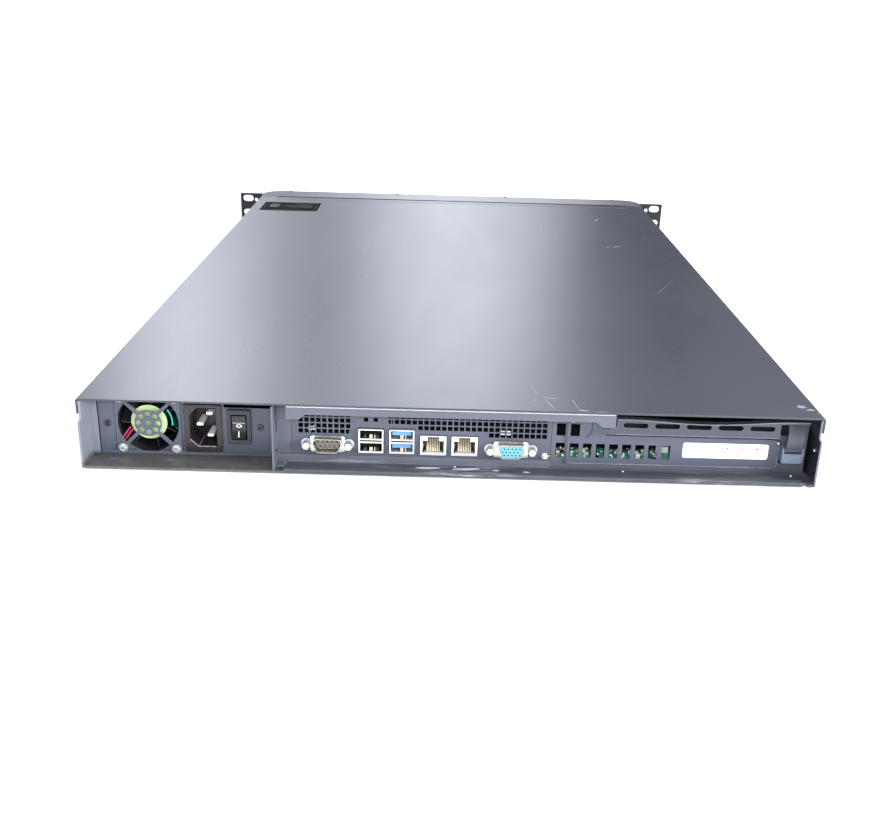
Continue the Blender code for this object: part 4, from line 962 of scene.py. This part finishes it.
def add_usb(name, node, tongue_finish, tongue_low=0.1):
    low, high = extent(node)
    x = (low.x + high.x) / 2
    shell = Shape()
    wall = 0.9
    mouths = ((9.7, 14.9), (17.8, 23.0))
    shell.box((low.x, low.y, low.z), (low.x + wall, high.y, high.z))
    shell.box((high.x - wall, low.y, low.z), (high.x, high.y, high.z))
    gap = (mouths[0][1] + mouths[1][0]) / 2
    edges = (low.z, mouths[0][0], mouths[0][1], gap - 0.45, gap + 0.45, mouths[1][0], mouths[1][1], high.z)
    for start, end in zip(edges[::2], edges[1::2]):
        shell.box((low.x + wall - 0.05, low.y, start), (high.x - wall + 0.05, high.y - 0.05, end))
    shell.box((low.x + 0.3, low.y, low.z + 0.3), (high.x - 0.3, low.y + 4.5, high.z - 0.3))
    tongues, contacts = Shape(), Shape()
    for bottom, top in mouths:
        centre = (bottom + top) / 2
        tongues.box((x - 5.7, low.y + 4, centre + tongue_low), (x + 5.7, high.y - 1.0, centre + 1.9))
        for side in (-1, 1):
            for at in (-3.6, 3.6):
                place = centre + side * (top - bottom) / 2
                spring = [(high.y - 1.0, place), (high.y - 5.5, place - side * 0.9)]
                spring += [(high.y - 6.5, place - side * 0.5), (high.y - 6.5, place - side * 0.1)]
                spring.append((high.y - 1.0, place + side * 0.15))
                shell.prism(spring, x + at - 1.0, x + at + 1.0, "X")
        for index in range(4):
            at = x + (index - 1.5) * 2.3
            contacts.box((at - 0.55, low.y + 5, centre - 0.12), (at + 0.55, high.y - 1.8, centre + 0.12))
        tab = [(high.y - 0.6, bottom), (high.y - 1.0, centre - 0.2)]
        tab += [(high.y - 3.0, centre - 0.3), (high.y - 3.0, bottom)]
        contacts.prism(tab, x - 0.95, x + 0.95, "X")
        contacts.prism(tab, x - 2.5, x - 1.9, "X")
    piece(name + "_shell", shell, bright_zinc, bevel=0.12, replaces=[node])
    piece(name + "_tongues", tongues, tongue_finish, bevel=0.2)
    piece(name + "_contacts", contacts, brass, bevel=0.05)
    lining = Shape()
    for bottom, top in mouths:
        lining.box((x - 6.3, low.y + 4.4, bottom + 0.1), (x + 6.3, low.y + 5.2, top - 0.1))
        if tongue_low > 0:
            lining.box((x - 6.4, low.y + 5.0, bottom - 0.1), (x + 6.4, high.y - 0.8, bottom + 0.12))
    lining.box((low.x + 0.9, low.y + 5.0, gap - 0.47), (high.x - 0.9, high.y - 0.5, gap + 0.47))
    piece(name + "_backs", lining, matte_black)


def add_network_socket(name, node):
    low, high = extent(node)
    x = (low.x + high.x) / 2
    floor, shoulder, key_top, half, key = 9.6, 17.0, 19.5, 6.3, 3.3
    skin = high.y - 0.7
    parts = [
        ((low.x, floor - 0.05), (x - half, high.z)),
        ((x + half, floor - 0.05), (high.x, high.z)),
        ((low.x, low.z), (high.x, floor)),
        ((x - half - 0.05, shoulder), (x - key, high.z)),
        ((x + key, shoulder), (x + half + 0.05, high.z)),
        ((x - key - 0.05, key_top), (x + key + 0.05, high.z)),
    ]
    shell, lining = Shape(), Shape()
    for (start_x, start_z), (end_x, end_z) in parts:
        shell.box((start_x, skin, start_z), (end_x, high.y, end_z))
        lining.box((start_x + 0.02, low.y + 6, start_z + 0.02), (end_x - 0.02, skin + 0.05, end_z - 0.02))
    outer = rectangle(low.x, high.x, low.z, high.z)
    inner = rectangle(low.x + 0.35, high.x - 0.35, low.z + 0.35, high.z - 0.35)
    shell.frame(outer, inner, low.y, skin + 0.1)
    lining.box((low.x + 0.4, low.y, low.z + 0.4), (high.x - 0.4, low.y + 6.2, high.z - 0.4))
    for side in (-1, 1):
        start = side * half
        spring = [(high.y - 0.2, start), (high.y - 4.5, start - side * 0.8)]
        spring += [(high.y - 5.5, start - side * 0.4), (high.y - 5.5, start)]
        spring.append((high.y - 0.2, start + side * 0.3))
        shell.prism([(x + a, y) for y, a in spring], 11.5, 14.0, "Z")
    lip = [(high.y - 0.1, floor - 0.6), (high.y + 0.35, floor - 0.2), (high.y + 0.1, floor + 0.3)]
    lip += [(high.y - 2.5, floor + 0.5), (high.y - 2.5, floor)]
    shell.prism(lip, x - 5.6, x + 5.6, "X")
    piece(name + "_shell", shell, bright_zinc, bevel=0.12, replaces=[node])
    piece(name + "_housing", lining, socket_brown, bevel=0.1)
    contacts = Shape()
    for index in range(8):
        at = x + (index - 3.5) * 1.02
        wire = [(low.y + 6.1, 16.6), (high.y - 1.9, 10.9), (high.y - 1.5, 10.1)]
        wire += [(high.y - 2.0, 9.7), (low.y + 6.1, 15.6)]
        contacts.prism(wire, at - 0.3, at + 0.3, "X")
    piece(name + "_contacts", contacts, pale_gold, bevel=0.05)


def d_outline(x, z, width, height):
    """A D shape, wider at the top, with rounded corners."""
    top = width / 2
    bottom = top - height * math.tan(math.radians(10))
    radius = height * 0.28
    points = arc(x + bottom - radius, z - height / 2 + radius, radius, -90, -10, 5)
    points += arc(x + top - radius, z + height / 2 - radius, radius, -10, 90, 5)
    points += arc(x - top + radius, z + height / 2 - radius, radius, 90, 190, 5)
    return points + arc(x - bottom + radius, z - height / 2 + radius, radius, 190, 270, 5)


SERIAL_HEIGHT = 13.3
VIDEO_PLACE = (-36.3, 12.6)


def add_serial_socket():
    refined("serial_port", warm_tin, 0.2, name="serial_shell")
    face = extent("rear_io_plate")[1].y
    x, z = middle("serial_port").x, SERIAL_HEIGHT
    insert = Shape()
    insert.prism(d_outline(x, z, 15.9, 7.5), face - 0.6, face + 0.6)
    piece("serial_insert", insert, socket_grey, bevel=0.15)
    pins = Shape()
    for count, height in ((5, 1.42), (4, -1.42)):
        for index in range(count):
            at = x + (index - (count - 1) / 2) * 2.77
            profile = [(0, face + 0.4), (0.5, face + 0.4), (0.5, face + 4.0)]
            profile += [(0.3, face + 4.4), (0, face + 4.5)]
            pins.lathe(profile, (at, z + height), "Y", 12)
    piece("serial_pins", pins, brass)


def add_video_socket():
    refined("vga_port", warm_tin, 0.2, name="video_shell")
    x, z = VIDEO_PLACE
    tip = extent("vga_port")[1].y
    insert = Shape()
    insert.prism(d_outline(x, z, 14.6, 7.0), tip - 1.1, tip - 0.35)
    insert.paint(1)
    for row in range(3):
        shift = 0.57 if row == 1 else -0.57
        for index in range(5):
            at = x + (index - 2) * 2.29 + shift
            insert.lathe(disc(0.52, tip - 0.5, tip - 0.33), (at, z + (1 - row) * 1.98), "Y", 12)
    piece("video_insert", insert, [sky_plastic, label_black])


def add_posts():
    """Hexagonal posts with a threaded hole, either side of each D-shaped socket."""
    face = extent("rear_io_plate")[1].y
    posts = Shape()
    for x, z in ((72.6, SERIAL_HEIGHT), VIDEO_PLACE):
        for side in (-1, 1):
            at = x + side * 12.5
            profile = [(2.75, face + 0.1), (2.75, face + 4.4), (2.3, face + 5.6)]
            profile += [(1.5, face + 5.6), (1.3, face + 4.6), (0, face + 4.4)]
            posts.paint(0).lathe(profile, (at, z), "Y", 6)
            posts.paint(1).lathe(disc(1.25, face + 4.3, face + 4.75), (at, z), "Y", 16)
            posts.paint(0).lathe([(3.3, face + 0.05), (3.3, face + 0.6), (0, face + 0.6)], (at, z), "Y", 24)
    piece("socket_posts", posts, [bright_zinc, warm_tin], bevel=0.2)


def add_rear_panel():
    refine_all((
        ("rear_io_plate", plate_paint, 0.12, "io_plate"),
        ("rear_top_rail", rear_paint, 0.25, "top_rail"),
        ("slot_wall", rear_paint, 0.15, "slot_wall_sheet"),
        ("slot_cover", plate_paint, 0.3, "slot_cover_sheet"),
        ("slot_bar", shaded_bar_paint, 0.25, "retaining_bar"),
        ("slot_latch", latch_plastic, 0.3, "thumb_latch"),
        ("latch_block", catch_paint, 0.3, "catch_block"),
    ))
    add_usb("usb2", "usb2_stack", matte_black)
    add_usb("usb3", "usb3_stack", blue_plastic, -0.4)
    add_network_socket("network_1", "rj45_1")
    add_network_socket("network_2", "rj45_2")
    add_serial_socket()
    add_video_socket()
    add_posts()
    face = extent("rear_io_plate")[1].y
    lamp = Shape()
    x, z = -56.8, 8.6
    profile = [(0, face - 1.5), (1.95, face - 1.5), (1.95, face + 0.3), (1.5, face + 0.5)]
    profile += [(1.4, face + 1.6), (0.8, face + 2.4), (0, face + 2.5)]
    lamp.lathe(profile, (x, z), "Y", 24)
    bead = [(0, face - 0.1), (1.1, face - 0.1), (0.9, face + 0.9), (0, face + 1.3)]
    lamp.paint(1).lathe(bead, (x - 2.2, z + 0.5), "Y", 16)
    piece("id_lamp", lamp, [cream_plastic, gold], replaces=["id_led"])
    lines = Shape()
    outline = rounded(38.9, 55.1, 24.85, 34.2, 0.6)
    inset = rounded(39.35, 54.65, 25.3, 33.75, 0.4)
    lines.frame(outline, inset, face - 0.05, face + 0.14)
    lines.prism(rectangle(34.6, 35.0, 27.0, 36.5), face - 0.05, face + 0.14)
    lines.prism(rectangle(59.4, 59.8, 8.0, 22.0), face - 0.05, face + 0.14)
    piece("io_plate_lines", lines, plate_paint, bevel=0.05)
    lugs = Shape()
    for x, z in ((83.2, 21.0), (80.6, 21.6), (-31.4, 21.4), (-34.8, 21.2)):
        lugs.box((x - 1.2, face - 6.0, z - 1.0), (x + 1.2, face - 2.4, z + 2.4))
        knob = [(0, face - 2.6), (0.9, face - 2.6), (0.7, face - 1.9), (0, face - 1.8)]
        lugs.lathe(knob, (x, z + 0.6), "Y", 12)
    piece("port_lugs", lugs, tin, bevel=0.25)
    # Painted shade: dark sheets behind the vents, from the sockets' tops upwards.
    vent_shade_sheets = Shape()
    for low_x, high_x, low_z in (
        (-58.8, -20.8, 19.4), (-21.0, 20.8, 20.5), (20.6, 64.2, 24.0), (64.0, 92.6, 19.4),
    ):
        vent_shade_sheets.box((low_x, face - 7.2, low_z), (high_x, face - 6.8, 39.0))
    piece("vent_shade", vent_shade_sheets, matte_black)
    # Painted shade: a dark sheet behind the retaining bar's slots.
    foam = Shape()
    foam.box((-206.5, 325.0, 28.4), (-98.5, 325.5, 34.6))
    piece("retaining_bar_shade", foam, matte_black)
    add_rear_label()


def add_rear_label():
    face = extent("slot_cover")[1].y
    label = Shape()
    low_x, high_x, low_z, high_z = -189.3, -138.5, 10.3, 19.9
    label.prism(rounded(low_x, high_x, low_z, high_z, 1.3, 6), face - 0.05, face + 0.14)
    label.paint(1)
    for index, x in enumerate((-162.0, -164.6, -168.8, -171.6, -174.0, -182.4)):
        label.prism(rectangle(x - 0.9, x + 0.6, 16.3, 17.0 + 0.2 * (index % 2)), face + 0.12, face + 0.17)
    label.prism(rectangle(-149.0, -146.4, 12.5, 13.0), face + 0.12, face + 0.17)
    piece("rear_label", label, [paper_white, print_grey])


# Inside


def add_board():
    repaint("mainboard", board_green)
    top = extent("mainboard")[1].z
    rng = random.Random(7)
    chips, caps, small = Shape(), Shape(), Shape()
    for x, y, w, d, h in (
        (-60, 236, 12, 12, 1.2), (-30, 236, 9, 9, 1.2), (36, 290, 8, 14, 3.0), (16, 270, 10, 10, 1.1),
        (-118, 232, 9, 6, 1.4), (-150, 40, 17, 17, 1.6), (60, 200, 15, 15, 1.5), (-186, 200, 10, 7, 1.2),
    ):
        chips.box((x - w / 2, y - d / 2, top + 0.15), (x + w / 2, y + d / 2, top + h))
        pins = int(w / 1.2)
        small.paint(0)
        for index in range(pins):
            at = x - w / 2 + (index + 0.5) * w / pins
            small.box((at - 0.25, y - d / 2 - 1.0, top + 0.05), (at + 0.25, y + d / 2 + 1.0, top + 0.35))
    cans = [(x, 286 + 5 * (index % 2)) for index, x in enumerate(range(-58, 84, 11)) if not -48 < x < -24]
    cans += [(-66 - 9 * index, 84) for index in range(3)]
    cans += [(30 + 9 * index, 96 + index) for index in range(4)]
    for x, y in cans:
        radius = rng.uniform(2.8, 3.9)
        tall = rng.uniform(7.0, 11.0)
        profile = [(0, top), (radius, top), (radius, top + tall - 0.6), (radius - 0.5, top + tall)]
        profile += [(radius - 0.9, top + tall - 0.25), (0, top + tall - 0.25)]
        caps.paint(1 if rng.random() < 0.35 else 0).lathe(profile, (x, y), "Z", 18)
    for index in range(420):
        x = rng.uniform(-204, 96)
        y = rng.uniform(-8, 314)
        if -68 < x < 24 and 82 < y < 174 or -101 < x < -91 and 56 < y < 200:
            continue
        w, d = rng.choice(((1.6, 0.8), (0.8, 1.6), (2.0, 1.2), (1.2, 2.0), (3.2, 1.6), (2.2, 2.2)))
        tall = rng.uniform(0.5, 1.1)
        small.paint(rng.choice((0, 1, 1, 2, 3)))
        small.box((x - w / 2, y - d / 2, top + 0.02), (x + w / 2, y + d / 2, top + tall))
    for index in range(150):
        x = rng.uniform(-124, -63)
        y = rng.uniform(304.6, 317.5)
        w, d = rng.choice(((1.5, 0.7), (0.7, 1.5), (0.8, 0.8), (1.9, 0.9), (2.6, 1.2)))
        small.paint(rng.choice((0, 0, 1, 3, 3, 2)))
        small.box((x - w / 2, y - d / 2, top + 0.02), (x + w / 2, y + d / 2, top + rng.uniform(0.5, 1.6)))
    piece("board_chips", chips, chip_black, bevel=0.1)
    piece("board_capacitors", caps, [sleeve_purple, aluminium])
    piece("board_small_parts", small, [tin, cream_plastic, chip_black, white_plastic])
    sinks = Shape()
    x, y = -60, 262
    sinks.box((x - 15, y - 13, top + 0.2), (x + 15, y + 13, top + 3.2))
    for index in range(11):
        at = x - 14.5 + index * 2.8
        sinks.box((at, y - 13, top + 3.0), (at + 1.0, y + 13, top + 13))
    piece("chipset_sink", sinks, aluminium, bevel=0.15)
    cell = Shape()
    can = [(0, top + 4.8), (9.2, top + 4.8), (10.0, top + 4.2), (10.0, top + 2.6), (0, top + 2.6)]
    holder = [(11.6, top), (11.6, top + 3.4), (10.3, top + 3.4), (10.3, top + 2.4), (0, top + 2.4)]
    for slot, profile in enumerate((can, holder)):
        cell.paint(slot).lathe(profile, (-166, 118), "Z", 40)
    piece("clock_cell", cell, [tin, black_plastic], bevel=0.1)
    add_board_sockets(top)
    add_card_bay_shade(top)


def add_card_bay_shade(top):
    """A black sheet of painted shade behind the expansion bay, open round the card socket."""
    sheet = Shape()
    near, far, crown = 303.3, 303.9, 39.5
    sheet.box((-205.0, near, top + 0.2), (-134.4, far, crown))
    sheet.box((-123.2, near, top + 0.2), (-62.0, far, crown))
    sheet.box((-134.5, near, 20.0), (-123.1, far, crown))
    sheet.box((-205.0, near - 8, crown - 0.5), (-62.0, far, crown))
    piece("card_bay_shade", sheet, matte_black, bevel=0.1)


def add_board_sockets(top):
    memory = Shape()
    for x in (-86.4, -105.6, -115.2):
        for low_x, high_x in ((x - 3.2, x - 1.0), (x + 1.0, x + 3.2)):
            memory.paint(0).box((low_x, 58, top + 0.1), (high_x, 198, 16))
        memory.box((x - 3.2, 58, top + 0.1), (x + 3.2, 198, 11.4))
    for x in (-86.4, -96.0, -105.6, -115.2):
        for y, side in ((55.2, -1), (200.8, 1)):
            clip = [(y - 2.4, top + 0.2), (y + 2.4, top + 0.2)]
            clip += [(y + 2.4 + side * 0.6, 22), (y - 1.4 + side * 1.4, 25)]
            memory.paint(1).prism(clip, x - 2.2, x + 2.2, "X")
    piece("memory_sockets", memory, [black_plastic, white_plastic], bevel=0.25)
    ports = Shape()
    for index in range(4):
        x = 44 + index * 12
        ports.box((x - 4.2, 14, top + 0.1), (x + 4.2, 22, top + 7.5))
    ports.box((88, 30, top + 0.1), (95, 84, top + 9))
    piece("board_headers", ports, white_plastic, bevel=0.3)
    card = Shape()
    x = -128.8
    for low_x, high_x in ((x - 3.8, x - 1.0), (x + 1.0, x + 3.8)):
        card.box((low_x, 214, top + 0.2), (high_x, 308, 18.5))
    card.box((x - 3.8, 214, top + 0.2), (x + 3.8, 308, 11))
    card.box((x - 3.8, 213.2, top + 0.2), (x + 3.8, 217, 18.5))
    card.box((x - 3.8, 305, top + 0.2), (x + 3.8, 308.8, 18.5))
    piece("card_socket", card, white_plastic, bevel=0.25, replaces=["expansion_slot"])
    module = Shape()
    low, high = extent("dimm")
    module.paint(0).box(tuple(low), tuple(high))
    for index in range(9):
        y = low.y + 8 + index * 14.2
        module.paint(1).box((low.x - 1.0, y, 21), (high.x + 1.0, y + 9.5, 33))
    for index in range(60):
        y = low.y + 3 + index * 2.12
        module.paint(2).box((low.x - 0.06, y, low.z), (high.x + 0.06, y + 1.2, low.z + 2.6))
    piece("memory_module", module, [board_green, chip_black, gold], bevel=0.08, replaces=["dimm"])
    refined("dimm_slot", black_plastic, 0.25, name="memory_socket")
    refined("cpu_heatsink", aluminium, 0.15, name="processor_sink")
    refined("cpu_socket", white_plastic, 0.4, name="processor_socket")


def add_drives():
    for index in range(2):
        low, high = extent(f"hard_drive_{index + 1}")
        drive = Shape()
        drive.paint(0).prism(rounded(low.x, high.x, low.y, high.y, 2.0), low.z, high.z - 1.2, "Z")
        lid = rounded(low.x + 1.2, high.x - 1.2, low.y + 1.5, high.y - 8, 3.0)
        drive.paint(1).prism(lid, high.z - 1.3, high.z, "Z")
        paper = rounded(low.x + 18, high.x - 12, low.y + 42, high.y - 26, 2.0)
        drive.paint(2).prism(paper, high.z - 0.05, high.z + 0.06, "Z")
        drive.paint(3)
        for step in range(5):
            y = low.y + 52 + step * 11
            line = rectangle(low.x + 24, high.x - 24 - 6 * (step % 2), y, y + 2.4)
            drive.prism(line, high.z + 0.04, high.z + 0.09, "Z")
        for a, b in ((6, 6), (6, 70), (6, 132), (95, 6), (95, 70), (95, 132)):
            screw_head(drive, (low.x + a, low.y + b, high.z - 0.1), "Z", 2.2, 0.5, metal=1, recess=3)
        drive.paint(4).box((low.x + 20, high.y - 0.4, low.z + 2), (low.x + 62, high.y + 0.2, low.z + 9))
        name = f"drive_{index + 1}"
        piece(name, drive, [aluminium, tin, paper_white, print_grey, black_plastic], bevel=0.25,
              replaces=[f"hard_drive_{index + 1}"])
    refined("drive_cage", zinc, 0.2, name="drive_tray")


def add_cooling():
    for index in range(3):
        make_rotor(f"case_rotor_{index + 1}", f"fan_rotor_{index + 1}", label_black, -1.0)
        refined(f"fan_frame_{index + 1}", black_plastic, 0.4, name=f"case_fan_{index + 1}")
    refined("fan_bracket", zinc, 0.2, name="fan_wall")


def add_cables():
    """The power leads from the supply to the board, and the drives' cables, each held at both ends."""
    power = [(112.5, 137.0, 22.0), (112.5, 118.0, 22.0), (108.0, 96.0, 24.0), (96.0, 82.0, 26.0)]
    power += [(86.0, 74.0, 26.0), (82.0, 68.0, 22.0), (82.0, 66.0, 17.0)]
    route = smooth_route(power, 8)
    last = len(route) - 1
    leads = Shape()
    for index in range(7):
        phase = 2 * math.pi * index / 6
        strand = []
        for step, place in enumerate(route):
            heading = (route[min(step + 1, last)] - route[max(step - 1, 0)]).normalized()
            steep = abs(heading.z) > 0.9
            side = (heading.orthogonal() if steep else heading.cross(Vector((0, 0, 1)))).normalized()
            up = heading.cross(side)
            spin = phase + 1.6 * step / last
            reach = 0 if index == 6 else 2.4
            strand.append(place + side * math.cos(spin) * reach + up * math.sin(spin) * reach)
        leads.paint(index % 4).tube(strand, 1.05, 8)
    colours = [yellow_cable, black_cable, red_cable, orange_cable]
    piece("power_leads", leads, colours, replaces=["power_harness"])
    plug = Shape()
    plug.box((77.5, 61.5, 9.2), (86.5, 70.5, 18.6))
    plug.box((80.0, 60.7, 12.0), (84.0, 61.6, 17.0))
    piece("power_plug", plug, cream_plastic, bevel=0.4)
    data = [(60.0, -130.0, 12.0), (60.0, -112.0, 12.0), (62.0, -80.0, 14.0), (64.0, -40.0, 18.0)]
    data += [(64.0, -20.0, 18.0), (62.0, 0.0, 20.0), (60.0, 12.0, 19.0), (60.0, 16.0, 15.0)]
    route = smooth_route(data, 8)
    pair = Shape()
    for shift, slot in ((-1.2, 0), (1.2, 1)):
        pair.paint(slot).tube([place + Vector((shift, 0, 0)) for place in route], 1.15, 12)
    piece("drive_leads", pair, [red_cable, black_cable], replaces=["drive_cable"])
    ends = Shape()
    ends.box((55.5, -134.6, 9.0), (64.5, -127.5, 15.0))
    ends.box((55.5, 12.6, 8.2), (64.5, 19.4, 15.6))
    piece("drive_plugs", ends, black_plastic, bevel=0.5)


def add_front():
    front = extent("front_bezel")[0].y
    panel = Shape()
    mesh_low, mesh_high = front + 2.3, front + 3.0
    bars = 0.55
    for index in range(64):
        x = -112 + index * 4.8
        panel.box((x, mesh_low, 8.0), (x + bars, mesh_high, 36.0))
    for index in range(7):
        z = 8.0 + index * 4.4
        panel.box((-112.0, mesh_low + 0.1, z), (192.0, mesh_high + 0.1, z + bars))
    piece("bezel_filter_grid", panel, black_plastic)
    refined("power_button", gloss_black, 0.3, name="power_cap")
    refined("reset_button", gloss_black, 0.2, name="reset_cap")
    refined("light_pipe", lens, 0.2, name="lamp_rods")
    ring = Shape()
    x, z = -186.0, 24.0
    ring.frame(circle(x, z, 6.7, 40), circle(x, z, 5.45, 40), front, front + 0.5)
    piece("power_button_ring", ring, tin, bevel=0.12)
    repaint("front_board", board_green)


def cover_scratches():
    """Light handling scratches and rubs on the cover, from its rear edge forwards."""
    top = extent("top_cover")[1].z
    scratches = Shape()
    for points, width in (
        (((-48, 291), (-50, 301), (-52, 311)), 0.5),
        (((-54.5, 313.6), (-59, 314), (-63.5, 315)), 1.0),
        (((-55.5, 316), (-57.5, 325), (-60.5, 333.5)), 0.6),
        (((-50, 314.5), (-47.5, 321)), 0.35),
        (((-71, 314), (-72, 321), (-73.5, 330)), 0.55),
        (((-72.5, 331.5), (-76, 332.4), (-79.5, 333)), 1.6),
        (((-84, 333.6), (-90, 333.8)), 0.8),
        (((-152, -88), (-156, -92), (-161, -92)), 1.6),
        (((-146, -86), (-149, -88)), 1.3),
        (((-150, -205), (-156, -222)), 1.2),
        (((58, -236), (20, -238), (-20, -238)), 0.8),
        (((-186, 30), (-172, 60), (-160, 80)), 0.25),
        (((120, 244), (134, 232), (152, 226)), 0.25),
    ):
        make_ribbon(scratches, points, width * 0.7, top)
    piece("cover_scratches", scratches, scratch_metal, "cover")
    smudge = Shape()
    for x, y, wide, deep, turn in (
        (-206.0, 317.0, 5.2, 4.6, 0.2), (-209.6, 322.0, 4.6, 2.6, 0.0), (-213.6, 326.6, 3.0, 1.5, 0.3),
    ):
        outline = []
        for angle in spaced_angles(26):
            ragged = 1 + 0.16 * math.sin(5 * angle + x) + 0.1 * math.sin(9 * angle + y)
            a, b = wide / 2 * ragged * math.cos(angle), deep / 2 * ragged * math.sin(angle)
            across = x + a * math.cos(turn) - b * math.sin(turn)
            outline.append((across, y + a * math.sin(turn) + b * math.cos(turn)))
        smudge.prism(outline, top - 0.02, top + 0.025, "Z")
    piece("cover_rubs", smudge, smudge_and_reflection_paint, "cover")


def dress_plain_nodes():
    """Materials for the CAD nodes that stay as they are."""
    finishes = {"zinc": zinc, "tin": tin, "board": board_green, "black_plastic": black_plastic, "lens": lens}
    for node, item in nodes.items():
        if item.hide_render or item.data.materials and item.data.materials[0] == board_green:
            continue
        repaint(node, finishes[slot_of[node]])


def add_floor_glints_and_gap_shade():
    """Painted glints on the floor's rear lip below the sockets, painted reflections of screws on the floor by
    the supply, and painted shade in the gap behind the front bezel.
    """
    rubs = Shape()
    for start, end, width in (
        ((20, 325.2), (5, 324.6), 2.6),
        ((-1.5, 326.0), (-18.5, 324.4), 2.6),
        ((21, 333.0), (10, 333.2), 1.6),
        ((-3.4, 333.6), (-10.7, 333.4), 1.2),
        ((-25.5, 326.0), (-30, 326.2), 1.6),
        ((-43.5, 327.2), (-48, 327.3), 1.6),
    ):
        centre = ((start[0] + end[0]) / 2, (start[1] + end[1]) / 2 + 0.2)
        make_ribbon(rubs, (start, centre, end), width, 1.2)
    piece("lip_glints", rubs, painted_highlight)
    # Painted reflections of two screws of the supply, on the floor in front of them.
    rubs = Shape()
    for x, y in ((198.0, 323.4), (165.2, 323.2)):
        make_ribbon(rubs, ((x + 3.4, y + 0.4), (x, y - 0.2), (x - 3.2, y + 0.3)), 1.7, 1.2)
    piece("floor_screw_reflections", rubs, smudge_and_reflection_paint)
    # Painted shade: a dark strip filling the gap between the front bezel and the cover.
    gap_shade = Shape()
    gap_shade.box((-197.0, -300.4, 42.2), (197.0, -296.8, 43.58))
    piece("bezel_gap_shade", gap_shade, matte_black)


dress_casing()
add_floor_glints_and_gap_shade()
add_case_screws()
add_rivets()
add_cover_marks()
add_switch()
add_power_supply()
add_rear_panel()
add_board()
add_drives()
add_cooling()
add_cables()
add_front()
cover_scratches()
dress_plain_nodes()


# Floor and light


def make_floor():
    mesh = bpy.data.meshes.new("floor")
    reach = 60.0
    corners = [(x, y, 0) for x, y in rectangle(-reach, reach, -reach, reach)]
    mesh.from_pydata(corners, [], [(0, 1, 2, 3)])
    floor = bpy.data.objects.new("floor", mesh)
    bpy.context.scene.collection.objects.link(floor)
    floor.location.z = cad_box[0].z - 0.0008
    paper = plain("floor_paper", (0.90, 0.90, 0.90), (0.93, 0.93, 0.93), (0.8, 0.9), 3, 400, 0.01)
    mesh.materials.append(paper)


def area_light(name, place, aim, size, power):
    data = bpy.data.lights.new(name, "AREA")
    data.shape = "RECTANGLE"
    data.size, data.size_y = size
    data.energy = power
    light = bpy.data.objects.new(name, data)
    bpy.context.scene.collection.objects.link(light)
    light.location = place
    light.rotation_mode = "QUATERNION"
    light.rotation_quaternion = (Vector(aim) - Vector(place)).to_track_quat("-Z", "Y")
    light.visible_camera = False
    light.visible_glossy = False


def make_world():
    """A studio round the object: a bright ceiling, and soft tall strips beyond the front."""
    world = bpy.data.worlds.new("studio")
    world.use_nodes = True
    bpy.context.scene.world = world
    tree = world.node_tree
    studio = NodeTree(tree)

    def levels(value, stops):
        """A smooth curve through (place, level) stops."""
        low, high = stops[0][0], stops[-1][0]
        most = max(level for _, level in stops)
        node = studio.add("ShaderNodeValToRGB")
        spread = studio.add("ShaderNodeMapRange", {"Value": value}, {"From Min": low, "From Max": high})
        tree.links.new(spread.outputs["Result"], node.inputs["Fac"])
        ramp = node.color_ramp
        ramp.interpolation = "EASE"
        for index, (place, level) in enumerate(stops):
            if index == 0:
                element = ramp.elements[0]
            elif index == len(stops) - 1:
                element = ramp.elements[-1]
            else:
                element = ramp.elements.new((place - low) / (high - low))
            element.color = (level / most,) * 3 + (1,)
        return studio.times(node.outputs["Color"], most)

    heading = studio.add("ShaderNodeTexCoord").outputs["Generated"]
    split = studio.add("ShaderNodeSeparateXYZ", {"Vector": heading})
    x, y, z = split.outputs
    ceiling = levels(z, CEILING)
    away = studio.calc("MAXIMUM", studio.times(y, -1.0), 0.05)
    slope = studio.calc("DIVIDE", x, away)
    strips = studio.times(levels(slope, STRIPS), levels(z, STRIP_HEIGHT))
    strips = studio.times(strips, studio.calc("LESS_THAN", y, 0.0))
    light = studio.calc("ADD", ceiling, strips)
    seen = studio.add("ShaderNodeMix")
    tree.links.new(studio.add("ShaderNodeLightPath").outputs["Is Camera Ray"], seen.inputs["Factor"])
    tree.links.new(light, seen.inputs["A"])
    seen.inputs["B"].default_value = 1.2
    tree.links.new(seen.outputs["Result"], tree.nodes["Background"].inputs["Strength"])
    tree.nodes["Background"].inputs["Color"].default_value = (0.94, 0.98, 1.10, 1)


# Radiance of the ceiling by the height of a direction, and of the strips by its slope aside and its height
CEILING = ((-1.0, 0.1), (0.0, 0.06), (0.30, 0.08), (0.45, 0.3), (0.62, 1.9), (0.8, 2.4), (1.0, 2.4))
STRIPS = ((-0.5, 0.2), (-0.35, 0.12), (-0.30, 0.0), (-0.18, 0.0), (-0.135, 0.8), (-0.08, 1.35), (-0.03, 1.68),
          (0.02, 1.72), (0.06, 1.4), (0.10, 0.85), (0.143, 0.32), (0.188, 0.42), (0.235, 0.92), (0.28, 1.65),
          (0.34, 2.1), (0.5, 0.3))
STRIP_HEIGHT = ((0.0, 0.7), (0.12, 0.9), (0.18, 1.0), (0.25, 1.7), (0.35, 2.9), (0.42, 3.2), (0.55, 1.5),
                (0.7, 0.0))


make_floor()
make_world()
area_light("flash", (0.006, 0.90, 0.315), (0, 0.33, 0.02), (0.12, 0.05), 3.2)
area_light("side_box", (-2.2, 1.35, 0.55), (0.1, 0.33, 0.02), (0.9, 0.7), 120)
bpy.context.scene.view_settings.view_transform = "Standard"
